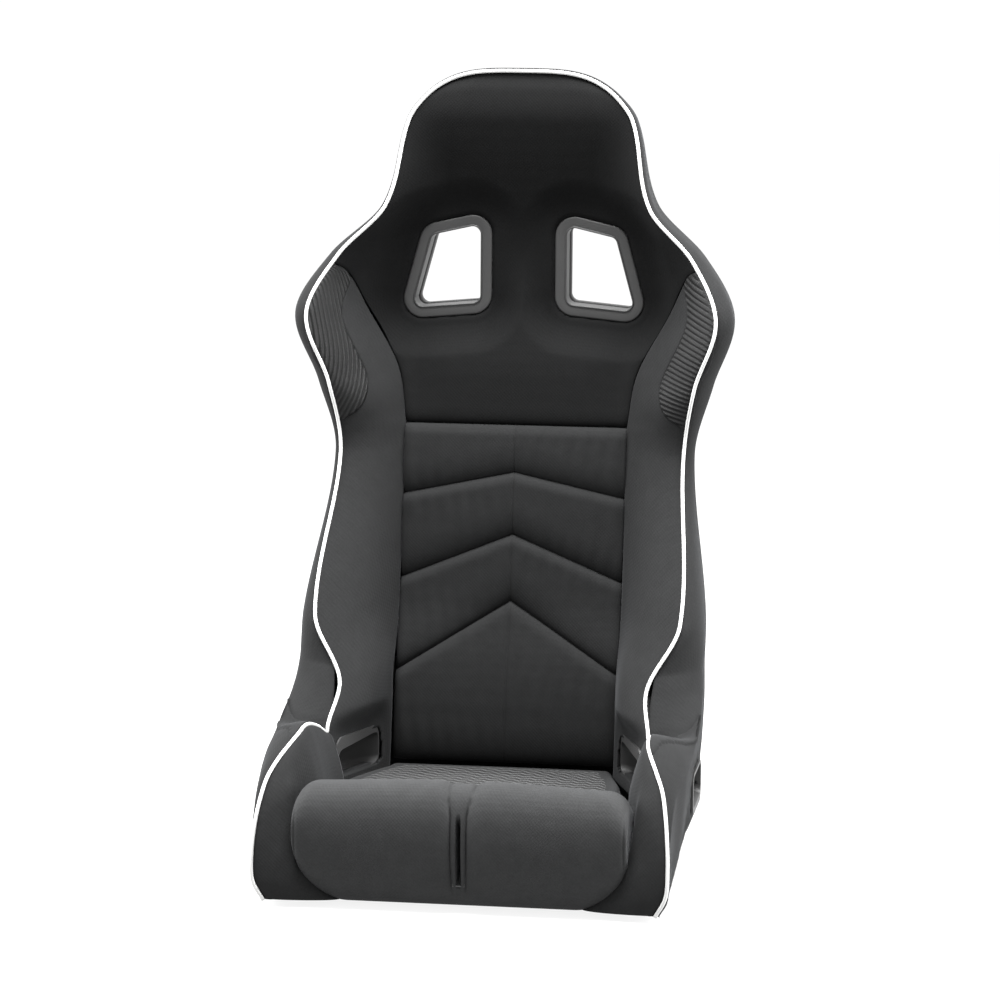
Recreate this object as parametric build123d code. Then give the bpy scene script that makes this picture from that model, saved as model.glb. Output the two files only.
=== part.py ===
from build123d import *
import math
import os

# Fixed-back racing seat: a bent steel tube frame, foam and fabric pads around it, loose cushion.
# Millimetres. +Z is up, the seat faces -Y, and X runs across it. The origin is the centre of the
# four floor bolts, on the underside of the mounting bosses.

# ---- driving sizes ------------------------------------------------------------------------------
seat_height = 937          # floor to the top of the headrest foam
shoulder_width = 542       # across the outside of the shoulder wings
waist_width = 446          # across the outside at the narrowest point
hip_width = 496            # across the outside above the lap belt slots
base_width = 500           # across the outside of the base
head_width = 278           # across the headrest piping
front_reach = 274          # bolt centre to the front of the thigh roll
back_reach = 92            # bolt centre to the front of the backrest, at cushion level
base_rear = 168            # bolt centre to the rear of the base

# ---- heights along the back ---------------------------------------------------------------------
foot_z = 6                 # underside of the upholstery
cushion_z = 97             # top of the cushion at its rear edge
notch_z = 160              # where the back piping meets the base piping
hip_low_z = 215
hip_z = 290
shoulder_drop = 292        # down from the top to the widest point of the wings
shoulder_top_drop = 222
neck_drop = 162
head_drop = 57
crown_round = 24           # height over which the headrest corners round off
waist_share = 0.51         # place of the waist between hip and shoulder
wing_share = 0.76          # place where the wings start
chevron_share = 0.605      # place of the seam at the top of the chevron panel

# ---- upholstery ---------------------------------------------------------------------------------
seam_gap = 1.0             # between two sewn pads
body_gap = 0.4             # between the loose cushion and what is round it
skin = 4.0                 # outer side and rear covers
patch = 1.8                # vinyl shoulder patches
panel_half = 137           # half the width of the chevron panel
pad_depth = 26             # foam of the chevron panel
piping_r = 2.5
step = 20                  # spacing of the sections that the pads are built from

# ---- cushion and thigh roll ---------------------------------------------------------------------
roll_half = 194
roll_depth = 88
roll_top = 147
roll_bottom = 22
cushion_front_z = 125
cushion_bottom_z = 48
cushion_front_half = 168
cushion_rear_half = 134
strap_slot_width = 14
strap_slot_low = 32
strap_slot_high = 116
sleeve_wall = 1.5

# ---- base bolsters ------------------------------------------------------------------------------
bolster_rear = -48         # rear end of the raised part of the base bolster
crest_z = 185

# ---- frame --------------------------------------------------------------------------------------
tube_r = 9.5
tube_wall = 1.6
cross_r = 8.0              # lighter tubes across the back
foam_clear = 0.5           # round every frame tube
tube_inset = 24            # tube centre inside the outer and rear surfaces
bolt_spacing_x = 380
bolt_spacing_y = 290
rail_width = 40
rail_height = 20
rail_wall = 2.0
rail_overhang = 16         # rail beyond the bolt centre, each end
boss_r = 9
m8_tap_r = 3.4             # tapping radius of an M8 coarse thread
spring_r = 1.75
spring_count = 5
spring_pitch = 24
spring_swing = 18
strap_height = 50
strap_thick = 1.6
strap_count = 4

# ---- harness windows ----------------------------------------------------------------------------
window_inner = 54          # half the gap between the two openings
window_top = 189           # below the top of the seat
window_tall = 105
window_top_wide = 61
window_bottom_wide = 86
window_slant = 14          # how much lower the outer top corner is than the inner one
window_r = 10
flange = 14.5              # width of the bezel's flange
flange_thick = 3.5
sleeve = 2.4
bezel_clear = 0.5
screw_r = 1.9

# ---- lap belt slots -----------------------------------------------------------------------------
lap_slot_long = 92
lap_slot_tall = 38
lap_slot_y = 14
lap_slot_in_z = 124
lap_slot_out_z = 96
lap_flange = 6
lap_r = 9


os.makedirs("parts", exist_ok=True)


def keep(name, shape):
    export_step(shape, f"parts/{name}.step")
    print(name, round(shape.volume))


def keep_pair(name, shape):
    # shape is the one at +X; the other is its mirror image
    keep(f"{name}_left", mirror(shape, about=Plane.YZ))
    keep(f"{name}_right", shape)


def curve(points, t):
    # smooth curve through (position, value) points, level beyond both ends
    points = sorted(points)
    if t <= points[0][0]:
        return points[0][1]
    if t >= points[-1][0]:
        return points[-1][1]
    i = max(k for k in range(len(points) - 1) if points[k][0] <= t)

    def slope(k):
        low, high = max(k - 1, 0), min(k + 1, len(points) - 1)
        return (points[high][1] - points[low][1]) / (points[high][0] - points[low][0])

    (t0, v0), (t1, v1) = points[i], points[i + 1]
    span = t1 - t0
    s = (t - t0) / span
    return (v0 * (1 + 2 * s) * (1 - s) ** 2 + v1 * s * s * (3 - 2 * s)
            + span * (slope(i) * s * (1 - s) ** 2 - slope(i + 1) * s * s * (1 - s)))


def polygon(points):
    return Face(Wire.make_polygon([Vector(*p) for p in points], close=True))


def skinned(sections):
    # straight-sided solid through a row of polygons with equally many corners
    return loft([polygon(points) for points in sections], ruled=True)


def levels(low, high):
    # low and high, and every multiple of the step between them
    inside = [k * step for k in range(math.floor(low / step), math.ceil(high / step) + 1)]
    return [low] + [z for z in inside if low + step / 4 < z < high - step / 4] + [high]


# ---- the shape of the back, as functions of height ----------------------------------------------
shoulder_z = seat_height - shoulder_drop
shoulder_top_z = seat_height - shoulder_top_drop
neck_z = seat_height - neck_drop
head_z = seat_height - head_drop
crown_z = seat_height - crown_round
waist_z = hip_z + waist_share * (shoulder_z - hip_z)
wing_z = hip_z + wing_share * (shoulder_z - hip_z)
chevron_z = hip_z + chevron_share * (shoulder_z - hip_z)
landmarks = [foot_z, notch_z, hip_low_z, hip_z, waist_z, wing_z,
             shoulder_z, shoulder_top_z, neck_z, head_z, crown_z, seat_height]

# rise of the front surface behind its place at cushion level
front_lean = [0, 20, 33, 58, 87, 108, 136, 151, 144, 119, 118, 124]
# front surface to rear surface
thickness = [78, 80, 75, 72, 73, 76, 69, 57, 60, 55, 44, 26]
# how far the piping stands in front of the centre of the seat
bolster_reach = [132, 157, 127, 122, 36, 69, 108, 86, 57, 5, -2, -2]
# outer surface: how far it stands behind the piping and outside it
side_back = [14, 26, 58, 62, 27, 42, 35, 26, 16, 14, 9, 6]
side_out = [60, 57, 62, 24, 11, 20, 20, 14, 7, 5, 4, 4]
# rear corner: how far inside the outer surface
rear_tuck = [30, 30, 26, 22, 14, 30, 45, 32, 12, 9, 9, 9]

outer_half = [base_width / 2 - 12, base_width / 2, hip_width / 2, hip_width / 2 - 2, waist_width / 2,
              waist_width / 2 + 22, shoulder_width / 2, shoulder_width / 2 - 39, head_width / 2 + 31,
              head_width / 2 + 4, head_width / 2 - 22, head_width / 2 - 56]


def at(values, z):
    return curve(list(zip(landmarks, values)), z)


def front_y(z):
    return back_reach + at(front_lean, z)


def rear_y(z):
    return front_y(z) + at(thickness, z)


def piping_at(z):
    return at(outer_half, z) - at(side_out, z), front_y(z) - at(bolster_reach, z)


def outer_at(z):
    return at(outer_half, z), piping_at(z)[1] + at(side_back, z)


window_outer = window_inner + window_bottom_wide
wing_seam_half = window_outer + flange + 32


def seam_at(z):
    # seam between the centre of the back and its side bolsters
    half = curve([(chevron_z, panel_half), (wing_z + 12, panel_half + 11),
                  (shoulder_z, wing_seam_half), (shoulder_top_z - 22, wing_seam_half + 22)], z)
    side, y = piping_at(z)
    half = min(half, side - 9)
    # below the chevron seam the panel is flat, and above it the wings sweep forward
    share = max(0.0, (half - panel_half) / max(side - panel_half, 1))
    return half, front_y(z) + (y - front_y(z)) * share ** 1.5


def rear_seam(z):
    # the same seam at the back of the foam, which stays clear of the rear corner
    half, _ = seam_at(z)
    return min(half, outer_at(z)[0] - at(rear_tuck, z) - skin - 9)


def inset(z, by):
    # outer and rear corners of the back, moved inside by the thickness of the covers
    side, y = outer_at(z)
    corner = side - at(rear_tuck, z)
    return (side - by, y), (corner - by, rear_y(z) - by)


# ---- frame --------------------------------------------------------------------------------------
def path_through(points):
    # straight runs joined by arcs as large as the runs leave room for
    points = [Vector(*p) for p in points]
    radii = []
    for a, b, c in zip(points, points[1:], points[2:]):
        turn = math.radians((b - a).get_angle(c - b))
        radii.append(0.45 * min((b - a).length, (c - b).length) / math.tan(turn / 2))
    return FilletPolyline(*points, radius=radii)


def rod(path, r):
    return sweep(Plane(origin=path @ 0, z_dir=path % 0) * Circle(r), path=path)


def tube(path, r=tube_r, wall=tube_wall):
    end = Plane(origin=path @ 0, z_dir=path % 0)
    return sweep(end * (Circle(r) - Circle(r - wall)), path=path)


cross_z = rail_height + tube_r
tube_x_low = bolt_spacing_x / 2 + 16
crest_tube_x = base_width / 2 - 36
side_foot_z = cross_z + tube_r
side_foot_y = base_rear - tube_inset


def frame_point(z):
    side, _ = outer_at(z)
    return side - at(rear_tuck, z) - tube_inset + 6, rear_y(z) - tube_inset, z


def reflected(points):
    return [(-x, y, z) for x, y, z in reversed(points)]


def on_path(path, z, low=0.0, high=0.5):
    # point of a rising path at a height, and its direction there
    for _ in range(40):
        middle = (low + high) / 2
        low, high = (middle, high) if (path @ middle).Z < z else (low, middle)
    return path @ low, path % low


# main tube: from the base up through one shoulder, over the headrest and down the other side,
# butt welded above each shoulder
head_point = (head_width / 2 - 31, front_y(crown_z) + 24, crown_z - 12)
side_points = [(tube_x_low - 4, side_foot_y, side_foot_z), frame_point(hip_low_z + 20), frame_point(waist_z),
               frame_point(wing_z + 10), frame_point(shoulder_z + 5), frame_point(neck_z), head_point]
main_path = path_through(side_points + reflected(side_points))
main_solid = rod(main_path, tube_r)
main_tube = tube(main_path)
split_z = neck_z + 62
half_space = Box(4000, 4000, 4000)
above_split = Pos(0, 0, split_z + 2000) * half_space
head_hoop = main_tube & above_split
side_tube = (main_tube - above_split) & (Pos(2000, 0, 0) * half_space)


def on_side(z):
    return tuple(on_path(main_path, z)[0])


# base tube: along the rail, up behind the front of the base bolster, back along its crest, and
# into the hip bolster, where it is welded to the side tube
hip_join = on_side(hip_z + 10)
base_points = [(tube_x_low, base_rear - 20, cross_z), (tube_x_low, -front_reach + 52, cross_z),
               (crest_tube_x + 4, -front_reach + 34, 78), (crest_tube_x, -front_reach + 90, crest_z - 38),
               (crest_tube_x - 4, -front_reach + 150, crest_z - 32), (crest_tube_x - 3, bolster_rear, crest_z - 50),
               (crest_tube_x, bolster_rear + 72, crest_z - 38),
               (crest_tube_x, bolster_rear + 128, hip_low_z + 25),
               (hip_join[0] + 4, hip_join[1] - 50, hip_z + 5), hip_join]
base_path = path_through(base_points)
base_tube = tube(base_path) - main_solid

# wing tube: a short loop that carries the shoulder wing, welded to the side tube at both ends
wing_low = on_side(wing_z + 6)
wing_high = on_side(shoulder_top_z - 22)
wing_x, wing_y = piping_at(shoulder_z)
wing_points = [wing_low, (wing_x + 2, wing_y + 48, shoulder_z - 36),
               (wing_x - 1, wing_y + 50, shoulder_z + 14), wing_high]
wing_path = path_through(wing_points)
wing_r = 6.5
wing_wall = 1.2
wing_tube = tube(wing_path, wing_r, wing_wall) - main_solid


def cross(y, z, half, r):
    # tube straight across the seat, its ends coped round the main tube
    bar = Pos(0, y, z) * Rot(0, 90, 0) * (Cylinder(r, 2 * half) - Cylinder(r - tube_wall, 2 * half))
    return bar - main_solid


def cross_space(y, z, half, r):
    return Pos(0, y, z) * Rot(0, 90, 0) * Cylinder(r + foam_clear, 2 * half + 2)


front_cross_y = -bolt_spacing_y / 2 - 30
rear_cross_y = side_foot_y
cross_places = {"front_cross_tube": (front_cross_y, cross_z, tube_x_low - tube_r, tube_r),
                "rear_cross_tube": (rear_cross_y, cross_z, tube_x_low - tube_r, tube_r)}
strap_low = notch_z + 30
strap_pitch = (chevron_z - 40 - strap_low) / (strap_count - 1)
lumbar_z = strap_low + 1.5 * strap_pitch
for name, z in [("lumbar_cross_tube", lumbar_z), ("shoulder_cross_tube", wing_z + 30),
                ("neck_cross_tube", neck_z + 8)]:
    x, y, _ = on_side(z)
    cross_places[name] = (y, z, x, cross_r)
for name, place in cross_places.items():
    keep(name, cross(*place))
keep_pair("side_tube", side_tube)
keep("head_hoop", head_hoop)
keep_pair("base_tube", base_tube)
keep_pair("wing_tube", wing_tube)

# mounting rails with four threaded bosses
rail_long = bolt_spacing_y + 2 * rail_overhang
rail_x = bolt_spacing_x / 2
rail_box = Box(rail_width, rail_long, rail_height) - Box(rail_width - 2 * rail_wall, rail_long,
                                                         rail_height - 2 * rail_wall)
boss_places = [(x, y) for x in (-rail_x, rail_x) for y in (-bolt_spacing_y / 2, bolt_spacing_y / 2)]
rail = Pos(rail_x, 0, rail_height / 2) * rail_box
for x, y in boss_places:
    rail -= Pos(x, y, rail_height / 2) * Cylinder(boss_r, rail_height)
keep_pair("mount_rail", rail)
boss = Cylinder(boss_r, rail_height) - Cylinder(m8_tap_r, rail_height)
keep("mount_bosses", Compound(children=[Pos(x, y, rail_height / 2) * boss for x, y in boss_places]))

# what the foam is moulded round
main_space = rod(main_path, tube_r + foam_clear)
base_space = rod(base_path, tube_r + foam_clear)
wing_space = rod(wing_path, wing_r + foam_clear)
front_space, rear_space, lumbar_space, shoulder_space, neck_space = [cross_space(*p) for p in cross_places.values()]
rail_space = Pos(rail_x, 0, rail_height / 2) * Box(rail_width + 2, rail_long + 2, rail_height + 2)


def moulded(pad, tools):
    # the pad with all the tools cut from it at once, without any crumbs
    return max(pad.cut(*tools).solids(), key=lambda solid: solid.volume)


# ---- backrest pads ------------------------------------------------------------------------------
def head_section(z, above):
    # full width above the shoulder seam, between the two side seams below it
    half, y = seam_at(z)
    _, (corner, back) = inset(z, skin + seam_gap)
    if above:
        half, y = piping_at(z)[0] - 1, piping_at(z)[1] + piping_r + 1
    else:
        half = half - seam_gap / 2
        corner = rear_seam(z) - seam_gap / 2
    mid = min(panel_half - 2, half - 6)
    right = [(mid, front_y(z), z), (half, y, z), (min(corner, half), max(back, y + 8), z)]
    left = [(-x, y, z) for x, y, _ in reversed(right)]
    return right + left


shoulder_seam_z = shoulder_top_z - 22
head_low = skinned([head_section(z, False) for z in levels(chevron_z + seam_gap / 2, shoulder_seam_z)])
head_high = skinned([head_section(z, True) for z in levels(shoulder_seam_z, seat_height)])
window_z = seat_height - window_top
window_points = [(window_inner, window_z), (window_inner + window_top_wide, window_z - window_slant),
                 (window_outer, window_z - window_tall), (window_inner, window_z - window_tall + 8)]


def window_face(grow):
    # the opening's outline, moved outward, in the XZ plane
    face = make_face(FilletPolyline(*window_points, radius=window_r, close=True))
    return offset(face, grow) if grow else face


def across(face, y0, y1):
    # a face drawn with X across and Y up, stood upright between two places along the seat
    return Pos(0, y1, 0) * Rot(90, 0, 0) * extrude(face, y1 - y0)


window_mid_z = window_z - window_tall / 2
window_front = front_y(window_mid_z) + 5
window_rear = rear_y(shoulder_top_z)
deep = 200
sleeve_out = sleeve + bezel_clear
recess = across(window_face(flange + bezel_clear), window_front - deep, window_front)
hole = across(window_face(sleeve_out), window_front - deep, window_front + deep)
window_cut = [recess, hole]
window_cut += [mirror(tool, about=Plane.YZ) for tool in window_cut]
head_pad = moulded(head_low + head_high, window_cut + [main_space, shoulder_space, neck_space, wing_space,
                                                       mirror(wing_space, about=Plane.YZ)])

# bezels: a flange in front of the pad with a sleeve into the opening, and one behind it
sleeve_mid = (window_front + window_rear) / 2
ring = window_face(flange) - window_face(0)
lining = window_face(sleeve) - window_face(0)
front_bezel = across(ring, window_front - flange_thick, window_front)
front_bezel += across(lining, window_front - flange_thick, sleeve_mid - 0.5)
rear_bezel = across(ring, window_rear + 0.5, window_rear + 0.5 + flange_thick)
rear_bezel += across(lining, sleeve_mid + 0.5, window_rear + 0.5 + flange_thick)
centre_x = (window_inner + window_outer) / 2 - 6
screw_drop = 26
side_slope = (window_bottom_wide - window_top_wide) / (window_tall - window_slant)
side_x = window_inner + window_top_wide + side_slope * screw_drop + flange / 2 * math.hypot(1, side_slope)
screw_places = [(window_inner - flange / 2, window_mid_z + screw_drop),
                (window_inner - flange / 2, window_mid_z - screw_drop),
                (side_x, window_z - window_slant - screw_drop), (centre_x, window_z - window_tall - 2)]
screw = Cylinder(screw_r, 12) + Pos(0, 0, 6) * Cylinder(2 * screw_r, 2)
screws = []
screw_spaces = []
for x, z in screw_places:
    space = Pos(x, window_rear, z) * Rot(-90, 0, 0) * Cylinder(screw_r + 0.1, 40)
    rear_bezel -= space
    screw_spaces.append(space)
    screws.append(Pos(x, window_rear + flange_thick + 0.6 - 5, z) * Rot(-90, 0, 0) * screw)
screw_spaces += [mirror(space, about=Plane.YZ) for space in screw_spaces]
head_pad = moulded(head_pad, screw_spaces)
keep("head_pad", head_pad)
keep_pair("window_bezel", front_bezel)
keep_pair("rear_window_bezel", rear_bezel)
keep("bezel_screws", Compound(children=screws + [mirror(s, about=Plane.YZ) for s in screws]))


# chevron panel: the flat pad between the bolsters, below the top seam
def chevron_section(z):
    half = panel_half - seam_gap / 2
    front = front_y(z)
    return [(-half, front, z), (half, front, z), (half, front + pad_depth, z), (-half, front + pad_depth, z)]


chevron_low = cushion_z + seam_gap + 3
keep("chevron_pad", skinned([chevron_section(z) for z in levels(chevron_low, chevron_z - seam_gap / 2)]))


# side bolsters: full depth from the front to the rear cover, moulded round the side tube
def bolster_section(z):
    half, y = seam_at(z)
    side, side_y = piping_at(z)
    (outer, outer_y), (corner, back) = inset(z, skin + seam_gap)
    half = half + seam_gap / 2
    front = (side - 1, side_y + piping_r + 1, z)
    outer = max(outer, side)
    return [(half, y, z), front, (outer, outer_y, z), (corner, back, z),
            (rear_seam(z) + seam_gap / 2, back, z)]


lap_clear = bezel_clear + sleeve


def lap_outline(x, z, grow):
    # outline of the belt slot where it passes the plane at x
    box = RectangleRounded(lap_slot_long + 2 * grow, lap_slot_tall + 2 * grow, lap_r + grow)
    return Plane(origin=(x, lap_slot_y, z), x_dir=(0, 1, 0), z_dir=(1, 0, 0)) * box


lap_in_x = 140
lap_out_x = base_width / 2 + 6


def lap_tunnel(grow):
    # the slot drops outward, toward the belt's floor bolt
    return loft([lap_outline(lap_in_x, lap_slot_in_z, grow).face(), lap_outline(lap_out_x, lap_slot_out_z, grow).face()])


lap_space = lap_tunnel(lap_clear)
bolster_levels = levels(cushion_z + 1, shoulder_seam_z - seam_gap)
straps = []
strap_spaces = []
for k in range(strap_count):
    z = strap_low + k * strap_pitch
    y = max(front_y(z + d) for d in (-strap_height / 2, strap_height / 2)) + pad_depth + 1
    half = min(frame_point(z)[0] - tube_r - 4, panel_half + 40)
    straps.append(Pos(0, y + strap_thick / 2, z) * Box(2 * half, strap_thick, strap_height))
    strap_spaces.append(Pos(0, y + strap_thick / 2, z) * Box(2 * half + 4, strap_thick + 2, strap_height + 4))
keep("back_straps", Compound(children=straps))

# steel hooks from the ends of the straps to rings round the side tubes
hook_wide = 10
hook_thick = 2.0
hooks = []
hook_spaces = []
for k, band in enumerate(straps):
    z = strap_low + k * strap_pitch
    box = band.bounding_box()
    centre, along = on_path(main_path, z)
    ring_plane = Plane(origin=centre, z_dir=along)
    ring = ring_plane * (Cylinder(tube_r + 0.2 + hook_thick, hook_wide) - Cylinder(tube_r + 0.2, hook_wide))
    reach = centre.X - box.max.X + 12
    tongue = Pos(box.max.X - 12 + reach / 2, box.max.Y + hook_thick / 2, z) * Box(reach, hook_thick, hook_wide)
    link = Pos(centre.X, (box.max.Y + centre.Y) / 2, z) * Box(hook_thick, centre.Y - box.max.Y, hook_wide)
    hooks.append((ring + tongue + link).cut(main_solid))
    hook_spaces.append(ring_plane * Cylinder(tube_r + hook_thick + 3, hook_wide + 3))
    hook_spaces.append(Pos(box.max.X - 12 + reach / 2, box.max.Y + 2, z) * Box(reach + 8, 10, hook_wide + 4))
    hook_spaces.append(Pos(centre.X, (box.max.Y + centre.Y) / 2, z)
                       * Box(hook_thick + 6, centre.Y - box.max.Y + 4, hook_wide + 4))
hook_pairs = hooks + [mirror(hook, about=Plane.YZ) for hook in hooks]
keep("strap_hooks", Compound(children=[max(hook.solids(), key=lambda s: s.volume) for hook in hook_pairs]))

bolster = moulded(skinned([bolster_section(z) for z in bolster_levels]),
                  [main_space, base_space, wing_space, lumbar_space, shoulder_space, lap_space]
                  + strap_spaces + hook_spaces)


# vinyl patch on the wing: a thin piece on the front of the bolster, curved at its inner edge
patch_low = chevron_z + 10
patch_high = shoulder_seam_z - 4


def patch_section(z):
    half, y = seam_at(z)
    side, side_y = piping_at(z)
    side, side_y = side - 4, side_y + piping_r + 1
    share = 0.92 * math.sin(math.pi * (z - patch_low) / (patch_high - patch_low)) ** 0.5
    wide = (side - half - seam_gap / 2) * max(share, 0.06)
    inner_y = side_y + (y - side_y) * wide / (side - half - seam_gap / 2)
    return [(side - wide, inner_y - patch - seam_gap, z), (side, side_y - patch - seam_gap, z),
            (side, side_y - seam_gap, z), (side - wide, inner_y - seam_gap, z)]


keep_pair("side_bolster", bolster)
keep_pair("wing_patch", skinned([patch_section(z) for z in levels(patch_low, patch_high - 0.5)]))


# ---- base ---------------------------------------------------------------------------------------
def crest_at(y):
    # top edge of the base bolster: half-width and height
    front = -front_reach
    half = curve([(front + 4, base_width / 2 - 10), (front + 24, base_width / 2 - 16),
                  (front + 50, base_width / 2 - 21), (front + 74, base_width / 2 - 35),
                  (front + 114, base_width / 2 - 46), (bolster_rear - 42, base_width / 2 - 50),
                  (bolster_rear, base_width / 2 - 57)], y)
    z = curve([(front + 4, 66), (front + 10, 90), (front + 24, 112), (front + 34, 126), (front + 50, 149),
               (front + 74, crest_z - 17), (front + 114, crest_z - 3), (front + 143, crest_z),
               (bolster_rear - 42, crest_z - 7), (bolster_rear, notch_z)], y)
    return half, z


def base_outer(y, z):
    # outside of the base: widest above the slots, tucked in toward the floor at the rear
    half = base_width / 2 + curve([(-front_reach, -8), (-front_reach + 68, -6), (-front_reach + 134, 0),
                                   (60, 0), (120, -4), (base_rear, -14)], y)
    tuck = curve([(-front_reach, 3), (-front_reach + 120, 14), (-60, 24), (base_rear, 20)], y)
    return half - tuck * curve([(0, 1.0), (70, 0.45), (150, 0.0)], z)


def base_section(y, beside_roll):
    half, top = crest_at(y)
    inner = (roll_half if beside_roll else cushion_half(y)) + 1.5
    low = curve([(-front_reach + 4, 52), (-front_reach + 10, foot_z)], y)
    cover = skin + seam_gap
    shelf = min(top - 4, (roll_top if beside_roll else cushion_top(y)) + 2)
    mid = (top + low) / 2
    waist = min(140.0, mid)
    return [(inner, y, low), (inner, y, shelf), (half - 1, y, top - piping_r - 1),
            (base_outer(y, top - 20) - cover if top > 150 else half + 1, y, max(top - 22, mid + 2)),
            (base_outer(y, waist) - cover, y, waist), (base_outer(y, low) - cover, y, low)]


def cushion_top(y):
    return curve([(-front_reach + roll_depth, cushion_front_z), (-80, (cushion_front_z + cushion_z) / 2),
                  (back_reach - 30, cushion_z)], y)


def cushion_half(y):
    return curve([(-front_reach + roll_depth, cushion_front_half), (-60, (cushion_front_half + 158) / 2),
                  (back_reach, cushion_rear_half)], y)


split_y = -front_reach + roll_depth
front_levels = levels(-front_reach + 4, split_y)
middle_levels = levels(split_y, bolster_rear)
base_front = skinned([base_section(y, True) for y in front_levels])
base_middle = skinned([base_section(y, False) for y in middle_levels])


def base_rear_section(y):
    inner = cushion_half(y) + 1.5
    cover = skin + seam_gap
    top = cushion_z
    return [(inner, y, foot_z), (inner, y, top), (base_outer(y, top) - cover, y, top),
            (base_outer(y, 50) - cover, y, 50), (base_outer(y, foot_z) - cover, y, foot_z)]


rear_levels = levels(bolster_rear, base_rear - skin - seam_gap)
base_back = skinned([base_rear_section(y) for y in rear_levels])
base_bolster = moulded(base_front + base_middle + base_back,
                       [base_space, main_space, front_space, rear_space, rail_space, lap_space])
keep_pair("base_bolster", base_bolster)

# thigh roll: one foam block with a slot for the strap between the legs
roll_front = -front_reach
roll_line = [(split_y, roll_bottom + 16), (split_y, roll_top - 13), (split_y - 36, roll_top),
             (roll_front + 14, roll_top - 17), (roll_front, (roll_top + roll_bottom) / 2),
             (roll_front + 9, roll_bottom + 22), (roll_front + 34, roll_bottom), (split_y - 8, roll_bottom)]
roll_face = make_face(FilletPolyline(*roll_line, radius=[14, 20, 26, 40, 26, 20, 8, 6], close=True))
roll = Pos(-roll_half, 0, 0) * (Plane.YZ * extrude(roll_face, 2 * roll_half))
slot_z = (strap_slot_low + strap_slot_high) / 2
slot_tall = strap_slot_high - strap_slot_low
slot_space = Pos(0, roll_front + roll_depth / 2, slot_z) * Box(strap_slot_width, 2 * roll_depth, slot_tall)
keep("thigh_roll", roll - slot_space)
liner = Box(strap_slot_width, roll_depth - 16, slot_tall) - Box(strap_slot_width - 2 * sleeve_wall, roll_depth,
                                                                slot_tall - 2 * sleeve_wall)
keep("strap_slot_liner", Pos(0, roll_front + roll_depth / 2 + 4, slot_z) * liner)


# loose seat cushion
def cushion_section(y):
    half, top = cushion_half(y), cushion_top(y)
    crown = 3
    return [(-half, y, cushion_bottom_z), (half, y, cushion_bottom_z), (half, y, top - 8),
            (half - 14, y, top), (0, y, top + crown), (14 - half, y, top), (-half, y, top - 8)]


cushion_levels = levels(split_y + body_gap, back_reach - 6)
cushion = skinned([cushion_section(y) for y in cushion_levels])
notch = Pos(0, split_y, 90) * Box(44, 16, 120)
keep("seat_cushion", cushion - notch)

# deck under the cushion: cloth over springs, with hook tape on it and loop tape on the cushion
tape_thick = 0.9
deck_thick = 1.2
loop_z = cushion_bottom_z - tape_thick
hook_z = loop_z - body_gap - tape_thick
deck_z = hook_z - deck_thick
tape_places = [-100, 0, 100]
deck_front = front_cross_y + tube_r + 3
deck_rear = rear_cross_y - tube_r - 3
deck_half = cushion_rear_half - 6


def tapes(z):
    tape = Box(40, 170, tape_thick)
    return Compound(children=[Pos(x, -60, z + tape_thick / 2) * tape for x in tape_places])


keep("loop_tapes", tapes(loop_z))
keep("hook_tapes", tapes(hook_z))
deck = Box(2 * deck_half, deck_rear - deck_front, deck_thick)
keep("deck_cloth", Pos(0, (deck_front + deck_rear) / 2, deck_z + deck_thick / 2) * deck)

# zigzag springs across the base frame, each end in a clip on the tube
clip_thick = 1.2
clip_wide = 12
spring_z = cross_z + tube_r + clip_thick + spring_r + 0.2
spring_turns = round((rear_cross_y - front_cross_y) / spring_pitch)
true_pitch = (rear_cross_y - front_cross_y) / spring_turns
spring_places = [(k - (spring_count - 1) / 2) * (2 * spring_swing + 12) for k in range(spring_count)]


def spring_at(x):
    corners = [(x, front_cross_y, spring_z)]
    for k in range(spring_turns):
        side = x + spring_swing * (1 if k % 2 == 0 else -1)
        y = front_cross_y + k * true_pitch
        corners += [(side, y, spring_z), (side, y + true_pitch, spring_z)]
    corners.append((x, rear_cross_y, spring_z))
    return rod(FilletPolyline(*corners, radius=7), spring_r)


def clip_at(x, y):
    saddle = Rot(0, 90, 0) * (Cylinder(tube_r + clip_thick, clip_wide) - Cylinder(tube_r + 0.05, clip_wide))
    saddle -= Pos(0, 0, -tube_r) * Box(clip_wide, 4 * tube_r, 2 * tube_r)
    lug_tall = 2 * spring_r + 1.6
    lug = Pos(0, 0, tube_r + clip_thick / 2 + lug_tall / 2) * Box(clip_wide, 7, lug_tall)
    lug -= Pos(0, 0, spring_z - cross_z) * Rot(0, 90, 0) * Cylinder(spring_r + 0.1, clip_wide)
    lug -= Rot(0, 90, 0) * Cylinder(tube_r + clip_thick / 2, clip_wide)
    return Pos(x, y, cross_z) * (saddle + lug)


end_side = 1 if spring_turns % 2 == 1 else -1
clips = [clip_at(x + clip_wide / 2 - 2, front_cross_y) for x in spring_places]
clips += [clip_at(x + end_side * (clip_wide / 2 - 2), rear_cross_y) for x in spring_places]
keep("seat_springs", Compound(children=[spring_at(x) for x in spring_places]))
keep("spring_clips", Compound(children=clips))

# pressed steel pan under the thigh roll, welded below the front tube
pan_thick = 2.0
pan_half = rail_x - rail_width / 2 - 5
pan_front = -front_reach + 30
pan = Box(2 * pan_half, front_cross_y - pan_front, pan_thick)
keep("front_pan", Pos(0, (front_cross_y + pan_front) / 2, rail_height - pan_thick / 2) * pan)

# cloth under the base
under_thick = 1.5
under = Box(2 * cushion_rear_half - 6, base_rear - 8 - front_cross_y, under_thick)
keep("underside_cover", Pos(0, (base_rear - 8 + front_cross_y) / 2, foot_z + under_thick / 2) * under)


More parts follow.
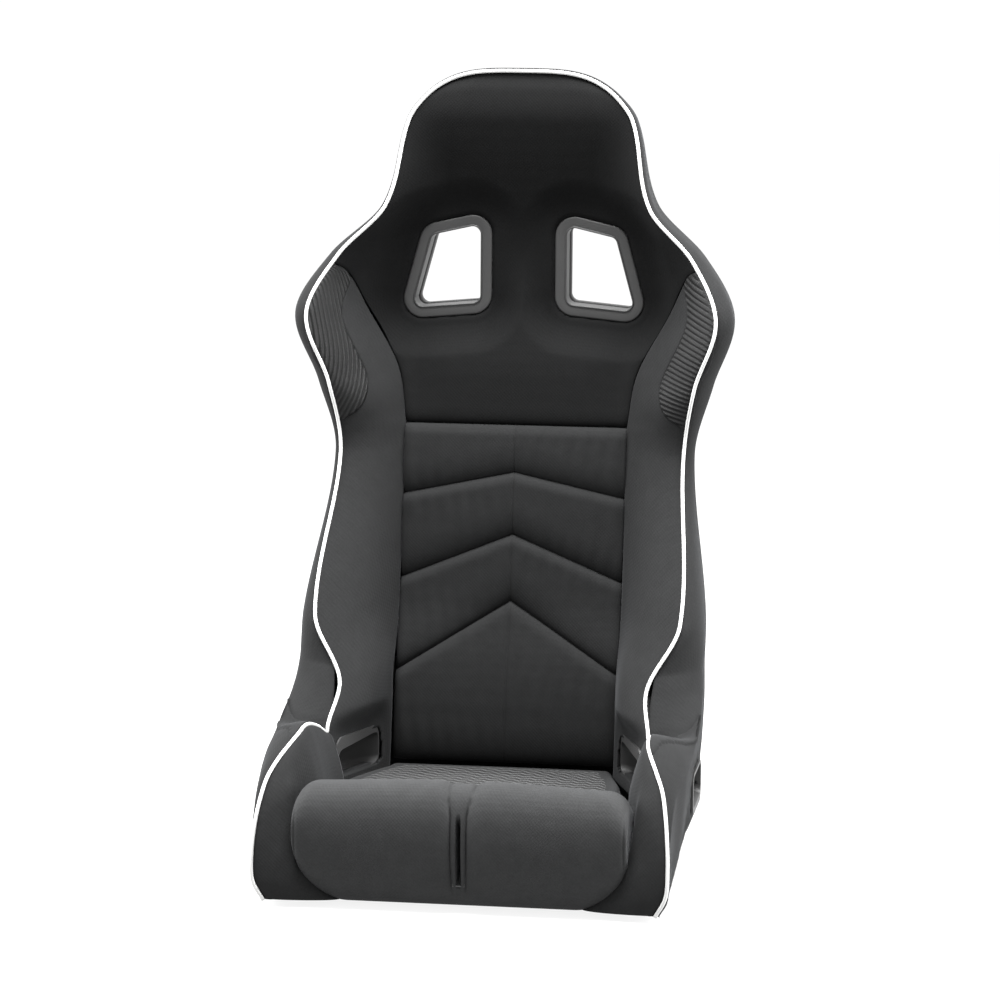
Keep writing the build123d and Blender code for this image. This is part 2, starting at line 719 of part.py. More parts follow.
# ---- outer covers -------------------------------------------------------------------------------
def side_panel_section(z):
    side, side_y = piping_at(z)
    (outer, outer_y), (corner, back) = inset(z, 0)
    front = side_y + piping_r + 1
    outer = max(outer, side + 3.4)
    return [(side + 3.2, front, z), (outer, outer_y, z), (corner, back, z), (corner - skin, back - skin, z),
            (outer - skin, outer_y, z), (side + 0.2, front, z)]


def rear_section(z):
    _, (corner, back) = inset(z, 0)
    if z <= cushion_z:
        corner = min(corner, base_outer(base_rear, z))
    corner -= seam_gap
    return [(corner, back, z), (-corner, back, z), (skin - corner, back - skin, z), (corner - skin, back - skin, z)]


def base_panel_section(y):
    half, top = crest_at(y)
    low = curve([(-front_reach + 4, 52), (-front_reach + 10, foot_z)], y)
    mid = (top + low) / 2
    waist = min(140.0, mid)
    high = (base_outer(y, top - 20) if top > 150 else half + 1 + skin + seam_gap, max(top - 22, mid + 2))
    outside = [(half + 3.2, top - piping_r - 1), high, (base_outer(y, waist), waist), (base_outer(y, low), low)]
    inside = [(x - skin, z) for x, z in reversed(outside)]
    return [(x, y, z) for x, z in outside + inside]


def base_rear_panel_section(y):
    outside = [(base_outer(y, z), z) for z in (cushion_z, 50, foot_z)]
    inside = [(x - skin, z) for x, z in reversed(outside)]
    return [(x, y, z) for x, z in outside + inside]


panel_levels = levels(cushion_z + 1, seat_height - 1)
side_panel = skinned([side_panel_section(z) for z in panel_levels])
rear_cover = skinned([rear_section(z) for z in levels(foot_z, seat_height - 1)])
keep("rear_cover", moulded(rear_cover, window_cut[1::2] + screw_spaces))
base_panel = skinned([base_panel_section(y) for y in levels(-front_reach + 4, bolster_rear)])
base_panel += skinned([base_rear_panel_section(y) for y in rear_levels])

# lap belt slots: a sleeve through the side, with a flange inside and outside
bezel_thick = 2.5
half_in, seam_y = seam_at(lap_slot_in_z)
side_in, side_in_y = piping_at(lap_slot_in_z)
run = Vector(side_in - half_in, side_in_y - seam_y, 0).normalized()
lap_mid_x = side_in + (half_in - side_in) * (lap_slot_y - side_in_y) / (seam_y - side_in_y)
inner_plane = Plane(origin=(lap_mid_x, lap_slot_y, lap_slot_in_z), x_dir=run, z_dir=(run.Y, -run.X, 0))
outer_x = base_outer(lap_slot_y, lap_slot_out_z) + 1


def lap_ring(grow):
    return RectangleRounded(lap_slot_long + 2 * (lap_flange + grow), lap_slot_tall + 2 * (lap_flange + grow),
                            lap_r + lap_flange)


inner_flange = inner_plane * (Pos(0, 0, 0.8) * extrude(lap_ring(0), bezel_thick))
inner_side = inner_plane * (Pos(0, 0, bezel_thick + 0.8) * extrude(Rectangle(900, 900), 300))
middle_x = (lap_mid_x + outer_x) / 2 + 12
lap_wall = lap_tunnel(sleeve) - lap_tunnel(0)
block = Box(400, 400, 400)
inner_bezel = inner_flange - lap_tunnel(0)
inner_bezel += (lap_wall - inner_side) - Pos(middle_x + 200 - 0.3, 0, 100) * block
outer_plane = Plane(origin=(outer_x, lap_slot_y, lap_slot_out_z), x_dir=(0, 1, 0), z_dir=(1, 0, 0))
outer_flange = outer_plane * extrude(lap_ring(0), bezel_thick)
outer_bezel = outer_flange - lap_tunnel(0)
outer_side = Pos(outer_x + bezel_thick + 200, 0, 100) * block
outer_bezel += (lap_wall - outer_side) - Pos(middle_x - 200 + 0.3, 0, 100) * block
outer_recess = outer_plane * (Pos(0, 0, -0.5) * extrude(lap_ring(0.6), 30))
keep_pair("inner_lap_bezel", max(inner_bezel.solids(), key=lambda s: s.volume))
keep_pair("outer_lap_bezel", max(outer_bezel.solids(), key=lambda s: s.volume))
keep_pair("side_panel", moulded(side_panel, [lap_space, outer_recess, base_space]))
keep_pair("base_side_panel", moulded(base_panel, [lap_space, outer_recess]))


# ---- piping -------------------------------------------------------------------------------------
def cord_through(points, r):
    # eight-sided cord along straight runs
    points = [Vector(*p) for p in points]
    ring = [math.radians(45 * k) for k in range(8)]
    sections = []
    for k, p in enumerate(points):
        along = (points[min(k + 1, len(points) - 1)] - points[max(k - 1, 0)]).normalized()
        across = along.cross(Vector(0, 1, 0.2)).normalized()
        up = across.cross(along)
        sections.append([tuple(p + across * (r * math.cos(t)) + up * (r * math.sin(t))) for t in ring])
    return skinned(sections)


side_run = [(piping_at(z)[0] + 0.5, piping_at(z)[1], z) for z in levels(notch_z - 2, crown_z + 10)]
top_half, top_y = piping_at(seat_height)
top_run = [(top_half + 8, top_y - 1, seat_height + 2),
           (top_half - 10, top_y - 1, seat_height + piping_r + 1.2)]
right_run = side_run + top_run
back_run = right_run + [(-x, y, z) for x, y, z in reversed(right_run)]
keep("back_piping", cord_through(back_run, piping_r))

base_run = []
crest_levels = levels(-front_reach + 4, bolster_rear - 2)
for y in crest_levels:
    half, top = crest_at(y)
    rise = (crest_at(y + 1)[1] - crest_at(y - 1)[1]) / 2
    long = math.hypot(1, rise)
    reach = piping_r + 0.9
    base_run.append((half, y - rise / long * reach, top - piping_r - 1 + reach / long))
front_x = base_run[0][0]
base_run = [(front_x - 4, -front_reach + 4, foot_z + 4), (front_x - 2, -front_reach + 1, 34)] + base_run
keep_pair("base_piping", cord_through(base_run, piping_r))
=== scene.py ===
import math
import bpy
import numpy as np
from mathutils import Matrix


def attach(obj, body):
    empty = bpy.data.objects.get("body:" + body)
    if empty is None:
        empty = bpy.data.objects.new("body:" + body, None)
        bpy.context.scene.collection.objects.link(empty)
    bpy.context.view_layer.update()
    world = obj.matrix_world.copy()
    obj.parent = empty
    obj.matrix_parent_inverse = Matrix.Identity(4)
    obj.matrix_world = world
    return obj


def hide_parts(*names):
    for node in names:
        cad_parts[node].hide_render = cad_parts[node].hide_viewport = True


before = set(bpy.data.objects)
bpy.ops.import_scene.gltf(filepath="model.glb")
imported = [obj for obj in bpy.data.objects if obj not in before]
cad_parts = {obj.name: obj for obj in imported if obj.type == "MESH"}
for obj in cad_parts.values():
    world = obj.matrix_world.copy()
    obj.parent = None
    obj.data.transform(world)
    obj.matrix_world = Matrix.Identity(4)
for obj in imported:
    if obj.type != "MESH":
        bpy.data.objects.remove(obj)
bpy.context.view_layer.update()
print("frame loaded")

# Fixed-back racing seat in black cloth. Shapes are worked out in millimetres and put into the
# meshes in metres. The seat faces -Y, X runs across it, and z is height above the floor.
mm = 0.001


def curve(points, t):
    # smooth curve through (position, value) points, each point's slope taken from its neighbours,
    # level beyond both ends
    pos, val = np.array(sorted(points), float).T
    slope = np.gradient(val, pos) if len(pos) < 3 else np.empty_like(val)
    slope[1:-1] = (val[2:] - val[:-2]) / (pos[2:] - pos[:-2])
    slope[0] = (val[1] - val[0]) / (pos[1] - pos[0])
    slope[-1] = (val[-1] - val[-2]) / (pos[-1] - pos[-2])
    t = np.clip(np.asarray(t, float), pos[0], pos[-1])
    i = np.clip(np.searchsorted(pos, t, side="right") - 1, 0, len(pos) - 2)
    span = pos[i + 1] - pos[i]
    s = (t - pos[i]) / span
    return (val[i] * (1 + 2 * s) * (1 - s) ** 2 + val[i + 1] * s * s * (3 - 2 * s)
            + span * (slope[i] * s * (1 - s) ** 2 - slope[i + 1] * s * s * (1 - s)))


def smooth(t):
    # 0 to 1 with level ends
    t = np.clip(t, 0, 1)
    return t * t * (3 - 2 * t)


def puff(away, reach):
    # quarter circle: 0 at a seam, 1 from reach onwards
    t = np.clip(np.asarray(away, float) / reach, 0, 1)
    return np.sqrt(1 - (1 - t) ** 2)


def crowded(count, share=0.6):
    # 0 to 1 in count steps that crowd at both ends, where the seams are
    t = np.linspace(0, 1, count)
    return share * (0.5 - 0.5 * np.cos(np.pi * t)) + (1 - share) * t


def arc(start, corner, end, s, weight=0.707):
    # conic from start to end, leaving and arriving along the lines to the corner
    a, b, c = (1 - s) ** 2, 2 * weight * s * (1 - s), s ** 2
    return (a * start + b * corner + c * end) / (a + b + c)


back = {
    "heights": [6, 160, 215, 290, 471.05, 559.8, 645, 715, 775, 880, 913, 937],
    "lean": [0, 20, 33, 58, 87, 108, 136, 151, 144, 119, 118, 124],
    "thick": [78, 80, 75, 72, 73, 76, 69, 57, 60, 55, 44, 26],
    "reach": [132, 157, 127, 122, 36, 69, 108, 86, 57, 5, -2, -2],
    "sideBack": [14, 26, 58, 62, 27, 42, 35, 26, 16, 14, 9, 6],
    "sideOut": [60, 57, 62, 24, 11, 20, 20, 14, 7, 5, 4, 4],
    "tuck": [30, 30, 26, 22, 14, 30, 45, 32, 12, 9, 9, 9],
    "outer": [238, 250, 248, 246, 223, 245, 271, 232, 170, 143, 117, 83],
    "front": 92,            # bolt centre to the backrest
    "chevronTop": 504.8,    # seam above the chevrons
    "wingTop": 704,         # where the side seam meets the piping
    "sideTop": 913,         # where the sides turn into the top of the headrest
    "crown": 26,            # rise of the top edge between its corners
    "panelHalf": 137,
}


def at(name, z):
    return curve(list(zip(back["heights"], back[name])), z)


def frontY(z):
    return back["front"] + at("lean", z)


def rearY(z):
    return frontY(z) + at("thick", z)


def pipeX(z):
    return at("outer", z) - at("sideOut", z)


def pipeY(z):
    return frontY(z) - at("reach", z)


def seamHalf(z):
    # half-width of the centre of the back, out to its side seams
    return curve([(504.8, 137), (571.8, 148), (645, 186.5), (693, 210), (704, float(pipeX(704)) - 2)], z)


def backY(x, z):
    # front of the back: flat in the middle, sweeping forward to the piping at the sides
    side = pipeX(z)
    flat = np.minimum(122, 0.6 * side)
    share = np.clip((np.abs(x) - flat) / (side - flat), 0, 1.2)
    return frontY(z) + (pipeY(z) - frontY(z)) * share ** 1.7


# meshes

def meshPiece(name, points, faces, finishes, uv=None):
    # one closed mesh in metres, its faces turned outward
    used, faces = np.unique(faces, return_inverse=True)
    faces = faces.reshape(-1, faces.shape[-1]) if faces.ndim > 1 else faces.reshape(-1, 4)
    points = np.asarray(points, float)[used] * mm
    a, b, c = (points[faces[:, k]] for k in range(3))
    d = points[faces[:, 3]]
    volume = np.einsum("ij,ij->i", a, np.cross(b, c)).sum() + np.einsum("ij,ij->i", a, np.cross(c, d)).sum()
    if volume < 0:
        faces = faces[:, ::-1]
    mesh = bpy.data.meshes.new(name)
    mesh.vertices.add(len(points))
    mesh.vertices.foreach_set("co", points.astype(np.float32).ravel())
    mesh.loops.add(faces.size)
    mesh.loops.foreach_set("vertex_index", faces.astype(np.int32).ravel())
    mesh.polygons.add(len(faces))
    mesh.polygons.foreach_set("loop_start", np.arange(0, faces.size, 4, dtype=np.int32))
    mesh.polygons.foreach_set("use_smooth", np.ones(len(faces), bool))
    mesh.update(calc_edges=True)
    for finish in finishes:
        mesh.materials.append(finish)
    if uv is not None:
        layer = mesh.uv_layers.new(name="surface")
        layer.data.foreach_set("uv", (uv[used] * mm)[faces.ravel()].astype(np.float32).ravel())
    mesh.validate()
    piece = bpy.data.objects.new(name, mesh)
    bpy.context.scene.collection.objects.link(piece)
    return piece


def gridQuads(rows, cols):
    index = np.arange(rows * cols).reshape(rows, cols)
    return np.stack([index[:-1, :-1], index[:-1, 1:], index[1:, 1:], index[1:, :-1]], -1).reshape(-1, 4)


def pad(name, outside, inside, finishes, keep=None, uv=None):
    # two matching grids of points, joined along every free edge; keep says which squares there are
    rows, cols = outside.shape[:2]
    quads = gridQuads(rows, cols)
    if keep is not None:
        quads = quads[keep.reshape(-1)]
    edges = np.stack([quads, np.roll(quads, -1, 1)], -1).reshape(-1, 2)
    key = edges.min(1) * (rows * cols) + edges.max(1)
    _, first, count = np.unique(key, return_index=True, return_counts=True)
    rim = edges[first[count == 1]]
    total = rows * cols
    walls = np.stack([rim[:, 1], rim[:, 0], rim[:, 0] + total, rim[:, 1] + total], -1)
    faces = np.concatenate([quads, quads[:, ::-1] + total, walls])
    points = np.concatenate([outside.reshape(-1, 3), inside.reshape(-1, 3)])
    if uv is not None:
        uv = np.concatenate([uv.reshape(-1, 2)] * 2)
    return meshPiece(name, points, faces, finishes, uv)


def skin(name, rings, finishes):
    # closed loops in a row. Each end is closed by the same loop shrunk to its middle in three steps
    around = rings.shape[1]
    shrink = np.array([0.02, 0.5, 0.85])[:, None, None]
    starts, stops = (loop.mean(0) + (loop - loop.mean(0)) * shrink for loop in (rings[0], rings[-1]))
    rings = np.concatenate([starts, rings, stops[::-1]])
    count = len(rings)
    index = np.arange(count * around).reshape(count, around)
    turn = np.roll(index, -1, 1)
    quads = np.stack([index[:-1], turn[:-1], turn[1:], index[1:]], -1).reshape(-1, 4)
    half = around // 2
    k = np.arange(half - 1)
    low = np.stack([index[0][k], index[0][-1 - k], index[0][-2 - k], index[0][k + 1]], -1)
    high = np.stack([index[-1][k], index[-1][k + 1], index[-1][-2 - k], index[-1][-1 - k]], -1)
    return meshPiece(name, rings.reshape(-1, 3), np.concatenate([quads, low, high]), finishes)


def normals(grid):
    along = np.gradient(grid, axis=0)
    across = np.gradient(grid, axis=1)
    n = np.cross(along, across)
    return n / np.maximum(np.linalg.norm(n, axis=-1, keepdims=True), 1e-9)


def cordRings(path, radius, guide, around=14):
    # round loops carried along a path, each square to it
    path = np.asarray(path, float)
    along = np.gradient(path, axis=0)
    along /= np.linalg.norm(along, axis=1, keepdims=True)
    side = np.cross(along, np.broadcast_to(np.asarray(guide, float), along.shape))
    side /= np.linalg.norm(side, axis=1, keepdims=True)
    up = np.cross(side, along)
    turn = np.linspace(0, 2 * np.pi, around, endpoint=False)[:, None]
    return path[:, None] + radius * (side[:, None] * np.cos(turn) + up[:, None] * np.sin(turn))


def mirrored(grid):
    return grid * np.array([-1, 1, 1])


def asDrawn(grid):
    return grid


sides = {"left": mirrored, "right": asDrawn}


def settle(piece, body, nodes):
    # what every piece needs to belong to the frame
    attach(piece, body)
    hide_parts(*nodes)
    return piece


# finishes

class Value:
    # a socket that takes part in sums: each operator adds its Math node
    def __init__(self, finish, socket):
        self.finish, self.socket = finish, socket

    def sum(self, operation, *others):
        return self.finish.math(operation, self, *others)

    def __add__(self, other):
        return self.sum("ADD", other)

    def __radd__(self, other):
        return self.sum("ADD", other)

    def __sub__(self, other):
        return self.sum("SUBTRACT", other)

    def __rsub__(self, other):
        return self.finish.math("SUBTRACT", other, self)

    def __mul__(self, other):
        return self.sum("MULTIPLY", other)

    def __rmul__(self, other):
        return self.sum("MULTIPLY", other)

    def __pow__(self, other):
        return self.sum("POWER", other)

    def wave(self):
        return self.sum("SINE")

    def atLeast(self, other):
        return self.sum("MAXIMUM", other)


class Finish:
    # one material and its nodes
    def __init__(self, name):
        self.material = bpy.data.materials.new(name)
        self.material.use_nodes = True
        self.tree = self.material.node_tree
        self.tree.nodes.clear()
        self.out = self.add("OutputMaterial")
        self.shader = self.add("BsdfPrincipled")
        self.link(self.shader.outputs[0], self.out.inputs[0])
        self.place = self.add("TexCoord")

    def add(self, kind, settings=None, inputs=None):
        node = self.tree.nodes.new("ShaderNode" + kind)
        for key, value in (settings or {}).items():
            if key == "stops":
                ramp = node.color_ramp
                for spot, (position, colour) in zip(range(len(value)), value):
                    stop = ramp.elements[spot] if spot < 2 else ramp.elements.new(position)
                    stop.position, stop.color = position, colour
            else:
                setattr(node, key, value)
        for key, value in (inputs or {}).items():
            self.put(node.inputs[key], value)
        return node

    def put(self, socket, value):
        value = value.socket if isinstance(value, Value) else value
        if isinstance(value, bpy.types.NodeSocket):
            self.link(value, socket)
        else:
            socket.default_value = value

    def link(self, source, socket):
        self.tree.links.new(source, socket)

    def math(self, operation, *values):
        node = self.add("Math", {"operation": operation}, dict(enumerate(values)))
        return Value(self, node.outputs[0])

    def noise(self, scale, detail=2.0, roughness=0.5, vector=None):
        node = self.add("TexNoise", None, {"Scale": scale, "Detail": detail, "Roughness": roughness,
                                           "Vector": vector or self.place.outputs["Object"]})
        return Value(self, node.outputs[0])

    def axes(self, vector=None):
        node = self.add("SeparateXYZ", None, {0: vector or self.place.outputs["Object"]})
        return [Value(self, node.outputs[k]) for k in range(3)]

    def between(self, share, low, high):
        # colour between two colours
        node = self.add("Mix", {"data_type": "RGBA"}, {"Factor": share, 6: low, 7: high})
        return node.outputs[2]

    def relief(self, height, strength, distance):
        node = self.add("Bump", None, {"Height": height, "Strength": strength, "Distance": distance})
        self.put(self.shader.inputs["Normal"], node.outputs[0])

    def shade(self, **values):
        for key, value in values.items():
            self.put(self.shader.inputs[key], value)
        return self.material


def grey(level, tint=0.0):
    return (level * (1 - tint), level, level * (1 + tint), 1.0)


cloth = {
    # how light each part's cloth is. The head is the centre cloth made darker, as painted shade, and the roll
    # is the cover's cloth made lighter, as painted light, to stand in for how the lamps fall on them
    "head": 0.0052, "chevron": 0.0110, "bolster": 0.0125, "cover": 0.0125, "roll": 0.0240,
    "sheen": 0.04, "sheenRoughness": 0.30, "yarn": 1500.0, "cloud": 60.0, "grain": 420.0,
}


def clothFinish(name, level):
    # close knit cloth: yarn loops, a fine melange and slow clouds of shade
    finish = Finish(name)
    x, y, z = finish.axes()
    yarn = (x * cloth["yarn"]).wave() * (z * cloth["yarn"]).wave() + (y * cloth["yarn"]).wave() * 0.6
    grain = finish.noise(cloth["grain"], 2.0, 0.7)
    cloud = finish.noise(cloth["cloud"], 3.0, 0.55)
    share = grain * 0.55 + cloud * 0.45
    colour = finish.between(share, grey(level * 0.62, 0.01), grey(level * 1.42, 0.015))
    finish.relief(yarn * 0.35 + grain, 0.32, 0.0005)
    rough = 0.82 + cloud * 0.12
    return finish.shade(**{"Base Color": colour, "Roughness": rough, "Sheen Weight": cloth["sheen"],
                           "Sheen Roughness": cloth["sheenRoughness"], "Sheen Tint": (0.8, 0.82, 0.86, 1.0),
                           "Specular IOR Level": 0.05})


meshCloth = {"pitch": 0.0085, "rise": 0.0130, "dark": 0.002, "light": 0.060, "rib": 0.0210}


def meshFinish():
    # air mesh: pale zigzag ribs over a dark ground, with fine pores
    finish = Finish("airMesh")
    x, y, z = finish.axes()
    fold = (((x * (1 / meshCloth["pitch"])).sum("PINGPONG", 1.0)) * meshCloth["rise"])
    rib = ((y + fold) * (2 * math.pi / meshCloth["rib"])).wave() * 0.5 + 0.5
    pore = finish.add("TexVoronoi", None, {"Scale": 900.0, "Vector": finish.place.outputs["Object"]})
    hole = Value(finish, pore.outputs["Distance"])
    share = (rib ** 3.0) * (1.15 - hole * 0.9)
    colour = finish.between(share, grey(meshCloth["dark"]), grey(meshCloth["light"], 0.01))
    finish.relief(rib - hole * 0.5, 0.6, 0.0012)
    return finish.shade(**{"Base Color": colour, "Roughness": 0.8, "Sheen Weight": 0.05,
                           "Sheen Roughness": 0.4, "Specular IOR Level": 0.15})


vinyl = {"rib": 0.0056, "tow": 0.0019, "dark": 0.003, "light": 0.014, "leftTurn": 1.22, "rightTurn": -0.27}


def vinylFinish(name, turn):
    # ribbed vinyl with a carbon look: slanting ribs, each crossed by short raised tows
    finish = Finish(name)
    u, v, _ = finish.axes(finish.place.outputs["UV"])
    across = v * math.cos(turn) - u * math.sin(turn)
    along = u * math.cos(turn) + v * math.sin(turn)
    rib = (across * (2 * math.pi / vinyl["rib"])).wave() * 0.5 + 0.5
    tow = (along * (2 * math.pi / vinyl["tow"]) + across * 900.0).wave() * 0.5 + 0.5
    wear = finish.noise(240.0, 3.0)
    height = rib * 0.8 + tow * rib * 0.35 + wear * 0.08
    colour = finish.between(height * 0.8, grey(vinyl["dark"]), grey(vinyl["light"], 0.01))
    finish.relief(height, 0.85, 0.0011)
    return finish.shade(**{"Base Color": colour, "Roughness": 0.40 + wear * 0.14, "Specular IOR Level": 0.14})


def pipingFinish():
    # white piping cord covered in fine-grained vinyl, a little soiled in patches
    finish = Finish("whitePiping")
    grain = finish.noise(1400.0, 2.0)
    dust = finish.noise(38.0, 3.0)
    colour = finish.between(dust, (0.36, 0.36, 0.355, 1), (0.46, 0.46, 0.455, 1))
    finish.relief(grain, 0.18, 0.0003)
    return finish.shade(**{"Base Color": colour, "Roughness": 0.42 + grain * 0.15, "Specular IOR Level": 0.4})


def plasticFinish():
    # moulded plastic with a fine spark-eroded texture
    finish = Finish("bezelPlastic")
    spark = finish.noise(2300.0, 3.0, 0.6)
    flow = finish.noise(30.0, 2.0)
    colour = finish.between(flow, grey(0.020), grey(0.028))
    finish.relief(spark, 0.35, 0.00025)
    return finish.shade(**{"Base Color": colour, "Roughness": 0.40 + spark * 0.18,
                           "Specular IOR Level": 0.45})


def paintFinish():
    # black powder coat: orange peel, and thin rubbed spots
    finish = Finish("framePaint")
    peel = finish.noise(700.0, 2.0)
    rub = finish.noise(45.0, 4.0, 0.65)
    bare = ((rub - 0.64).atLeast(0.0) * 6.0).sum("MINIMUM", 1.0)
    colour = finish.between(bare, grey(0.018), grey(0.11))
    finish.relief(peel, 0.25, 0.0004)
    return finish.shade(**{"Base Color": colour, "Roughness": 0.34 + peel * 0.12, "Metallic": bare * 0.6})


def metalFinish(name, level, warm, roughness):
    # plated or drawn steel with fine scratches and a clouded film
    finish = Finish(name)
    film = finish.noise(70.0, 4.0, 0.6)
    scratch = finish.noise(3200.0, 1.0)
    low, high = level * 0.62, level * 1.12
    dull, bright = (low * (1 + warm), low, low * (1 - warm), 1), (high * (1 + warm), high, high, 1)
    colour = finish.between(film, dull, bright)
    finish.relief(scratch, 0.15, 0.0001)
    return finish.shade(**{"Base Color": colour, "Metallic": 1.0, "Roughness": roughness + film * 0.16})


def weaveFinish(name, level, pitch, rough):
    # plain weave: warp and weft standing proud in turn
    finish = Finish(name)
    x, y, z = finish.axes()
    warp = ((x + z * 0.4) * (2 * math.pi / pitch)).wave()
    weft = ((y + z) * (2 * math.pi / pitch)).wave()
    cross = warp * weft * 0.5 + 0.5
    fuzz = finish.noise(500.0, 3.0)
    colour = finish.between(cross * 0.6 + fuzz * 0.4, grey(level * 0.55), grey(level * 1.5))
    finish.relief(cross + fuzz * 0.3, 0.5, 0.0006)
    return finish.shade(**{"Base Color": colour, "Roughness": rough, "Sheen Weight": 0.1,
                           "Specular IOR Level": 0.3})


# the head panel gets a darker copy of the centre cloth (painted shade) and the thigh roll a lighter copy of
# the cover cloth (painted light)
headClothPaintedShade = clothFinish("headClothPaintedShade", cloth["head"])
chevronCloth = clothFinish("chevronCloth", cloth["chevron"])
bolsterCloth = clothFinish("bolsterCloth", cloth["bolster"])
coverCloth = clothFinish("coverCloth", cloth["cover"])
rollClothPaintedLight = clothFinish("rollClothPaintedLight", cloth["roll"])
airMesh = meshFinish()
ribVinyl = {"left": vinylFinish("ribbedVinylLeft", vinyl["leftTurn"]),
            "right": vinylFinish("ribbedVinylRight", vinyl["rightTurn"])}
whitePiping = pipingFinish()
bezelPlastic = plasticFinish()
framePaint = paintFinish()
zincSteel = metalFinish("zincSteel", 0.62, 0.02, 0.28)
springSteel = metalFinish("springSteel", 0.30, 0.0, 0.34)
webbing = weaveFinish("blackWebbing", 0.02, 0.0022, 0.7)
hookLoop = weaveFinish("hookLoopTape", 0.012, 0.0011, 0.95)
liningCloth = weaveFinish("liningCloth", 0.028, 0.0016, 0.88)
print("finishes made")


# harness windows: their outline is used by the pads, the rear cover and the bezels

window = {
    "corners": [(54, 748), (115, 734), (140, 643), (54, 651)],   # clockwise, for the one at +X
    "round": 10, "flange": 14.5, "sleeve": 2.4, "plate": 3.5, "hole": 6.5,
}
windowMid = 748 - 52.5
windowFront = float(frontY(windowMid)) + 5
windowRear = float(rearY(715)) + 0.5


def insetCorners():
    # centres of the corner arcs: each pair of neighbouring sides moved inward and crossed
    corners = np.array(window["corners"], float)
    run = np.roll(corners, -1, 0) - corners
    run /= np.linalg.norm(run, axis=1, keepdims=True)
    out = np.stack([-run[:, 1], run[:, 0]], 1)
    reach = (corners * out).sum(1) - window["round"]
    before = np.roll(out, 1, 0)
    square = np.stack([before, out], 1)
    return np.linalg.solve(square, np.stack([np.roll(reach, 1), reach], 1)[..., None])[..., 0], before, out


windowCentres, sideBefore, sideAfter = insetCorners()


def windowLine(grow, perCorner=14, perSide=10):
    # the rounded outline moved outward by grow, as (x, z) points: corner arcs about the inset corners
    start = np.arctan2(sideBefore[:, 1], sideBefore[:, 0])
    turn = (np.arctan2(sideAfter[:, 1], sideAfter[:, 0]) - start + np.pi) % (2 * np.pi) - np.pi
    angle = start[:, None] + turn[:, None] * np.linspace(0, 1, perCorner)
    r = window["round"] + grow
    arcs = windowCentres[:, None] + r * np.stack([np.cos(angle), np.sin(angle)], -1)
    share = np.linspace(0, 1, perSide + 2)[1:-1, None]
    straights = arcs[:, -1][:, None] * (1 - share) + np.roll(arcs[:, 0], -1, 0)[:, None] * share
    return np.concatenate([arcs, straights], 1).reshape(-1, 2)


def windowAway(x, z):
    # distance outside the window's outline, negative inside: the distance from the nearest side of the
    # inset outline, less the radius
    p = np.stack([np.abs(x), z], -1)[..., None, :]
    a = windowCentres
    b = np.roll(a, -1, 0)
    share = np.clip(((p - a) * (b - a)).sum(-1) / ((b - a) ** 2).sum(-1), 0, 1)
    near = np.linalg.norm(p - a - share[..., None] * (b - a), axis=-1).min(-1)
    out = sideAfter
    inside = (((p - a) * out).sum(-1) <= 0).all(-1)
    return np.where(inside, -near, near) - window["round"]


lapSlot = {"midY": 14, "halfLong": 46, "halfTall": 19, "round": 9, "innerZ": 124, "outerZ": 96}


def slotAway(y, z, midZ, grow=0.0):
    # distance outside the lap belt slot's rounded outline
    g = lapSlot
    dy = np.abs(y - g["midY"]) - (g["halfLong"] + grow - g["round"])
    dz = np.abs(z - midZ) - (g["halfTall"] + grow - g["round"])
    return np.hypot(np.maximum(dy, 0), np.maximum(dz, 0)) + np.minimum(np.maximum(dy, dz), 0) - g["round"]


# centre of the back: one panel from the chevron seam up over the headrest

headRest = {"rows": 190, "cols": 181, "gap": -0.9, "swell": 5.0, "seamDepth": 4.5, "seamReach": 12,
            "edgeDepth": 3.5, "edgeReach": 9, "topDepth": 7, "topReach": 20, "footDepth": 8, "footReach": 26,
            "foot": 505.2, "levelTop": 930, "lining": 7}


def rowHeights(ends):
    # how far a row's middle stands above its ends, near the top of the headrest
    return back["crown"] * smooth((ends - 770) / 143)


def crownRow(ends, u):
    return ends + rowHeights(ends) * (1 - np.abs(u) ** 3.6)


def headSurface():
    # across: u from one seam to the other; up: rows whose ends climb the seam and then the piping.
    # depth = sweep of the back, less a swell, plus the fall at the seams, the piping and the windows
    g = headRest
    foot, wing, top = g["foot"], back["wingTop"], back["sideTop"]
    ends = np.concatenate([foot + (wing - foot) * crowded(g["rows"] // 2 + 1, 0.35)[:-1],
                           wing + (top - wing) * crowded(g["rows"] // 2, 0.3)])[:, None]
    u = np.concatenate([-crowded(g["cols"] // 2 + 1, 0.45)[::-1], crowded(g["cols"] // 2 + 1, 0.45)[1:]])
    u = np.sign(u) * (1 - (1 - np.abs(u)) ** 1.15)
    low = ends < wing
    half = np.where(low, seamHalf(ends), pipeX(ends) - 1.2) - g["gap"]
    x = u * half
    z = crownRow(ends, u) + 0 * x
    y = backY(x, np.minimum(z, g["levelTop"]))
    sideAway = (1 - np.abs(u)) * half
    fall = np.where(low, g["seamDepth"] * (1 - puff(sideAway, g["seamReach"])),
                    g["edgeDepth"] * (1 - puff(sideAway, g["edgeReach"])))
    fall += g["topDepth"] * (1 - puff((top - ends) * 0.9, g["topReach"]))
    fall = fall + g["footDepth"] * (1 - puff(z - 505.0, g["footReach"])) ** 1.5
    y = y - g["swell"] * smooth(sideAway / 70) * smooth((z - 505) / 90) * smooth((935 - z) / 60) + fall
    away = windowAway(x, z)
    lip = windowFront - 5.2 + 5.2 * (1 - puff(away - window["flange"] - 0.2, 7))
    share = smooth((away - window["flange"] - 2) / 46)
    y = np.where(away < window["flange"] + 0.4, windowFront + 0.2, lip * (1 - share) + y * share)
    return np.stack([x, y, z], -1), away


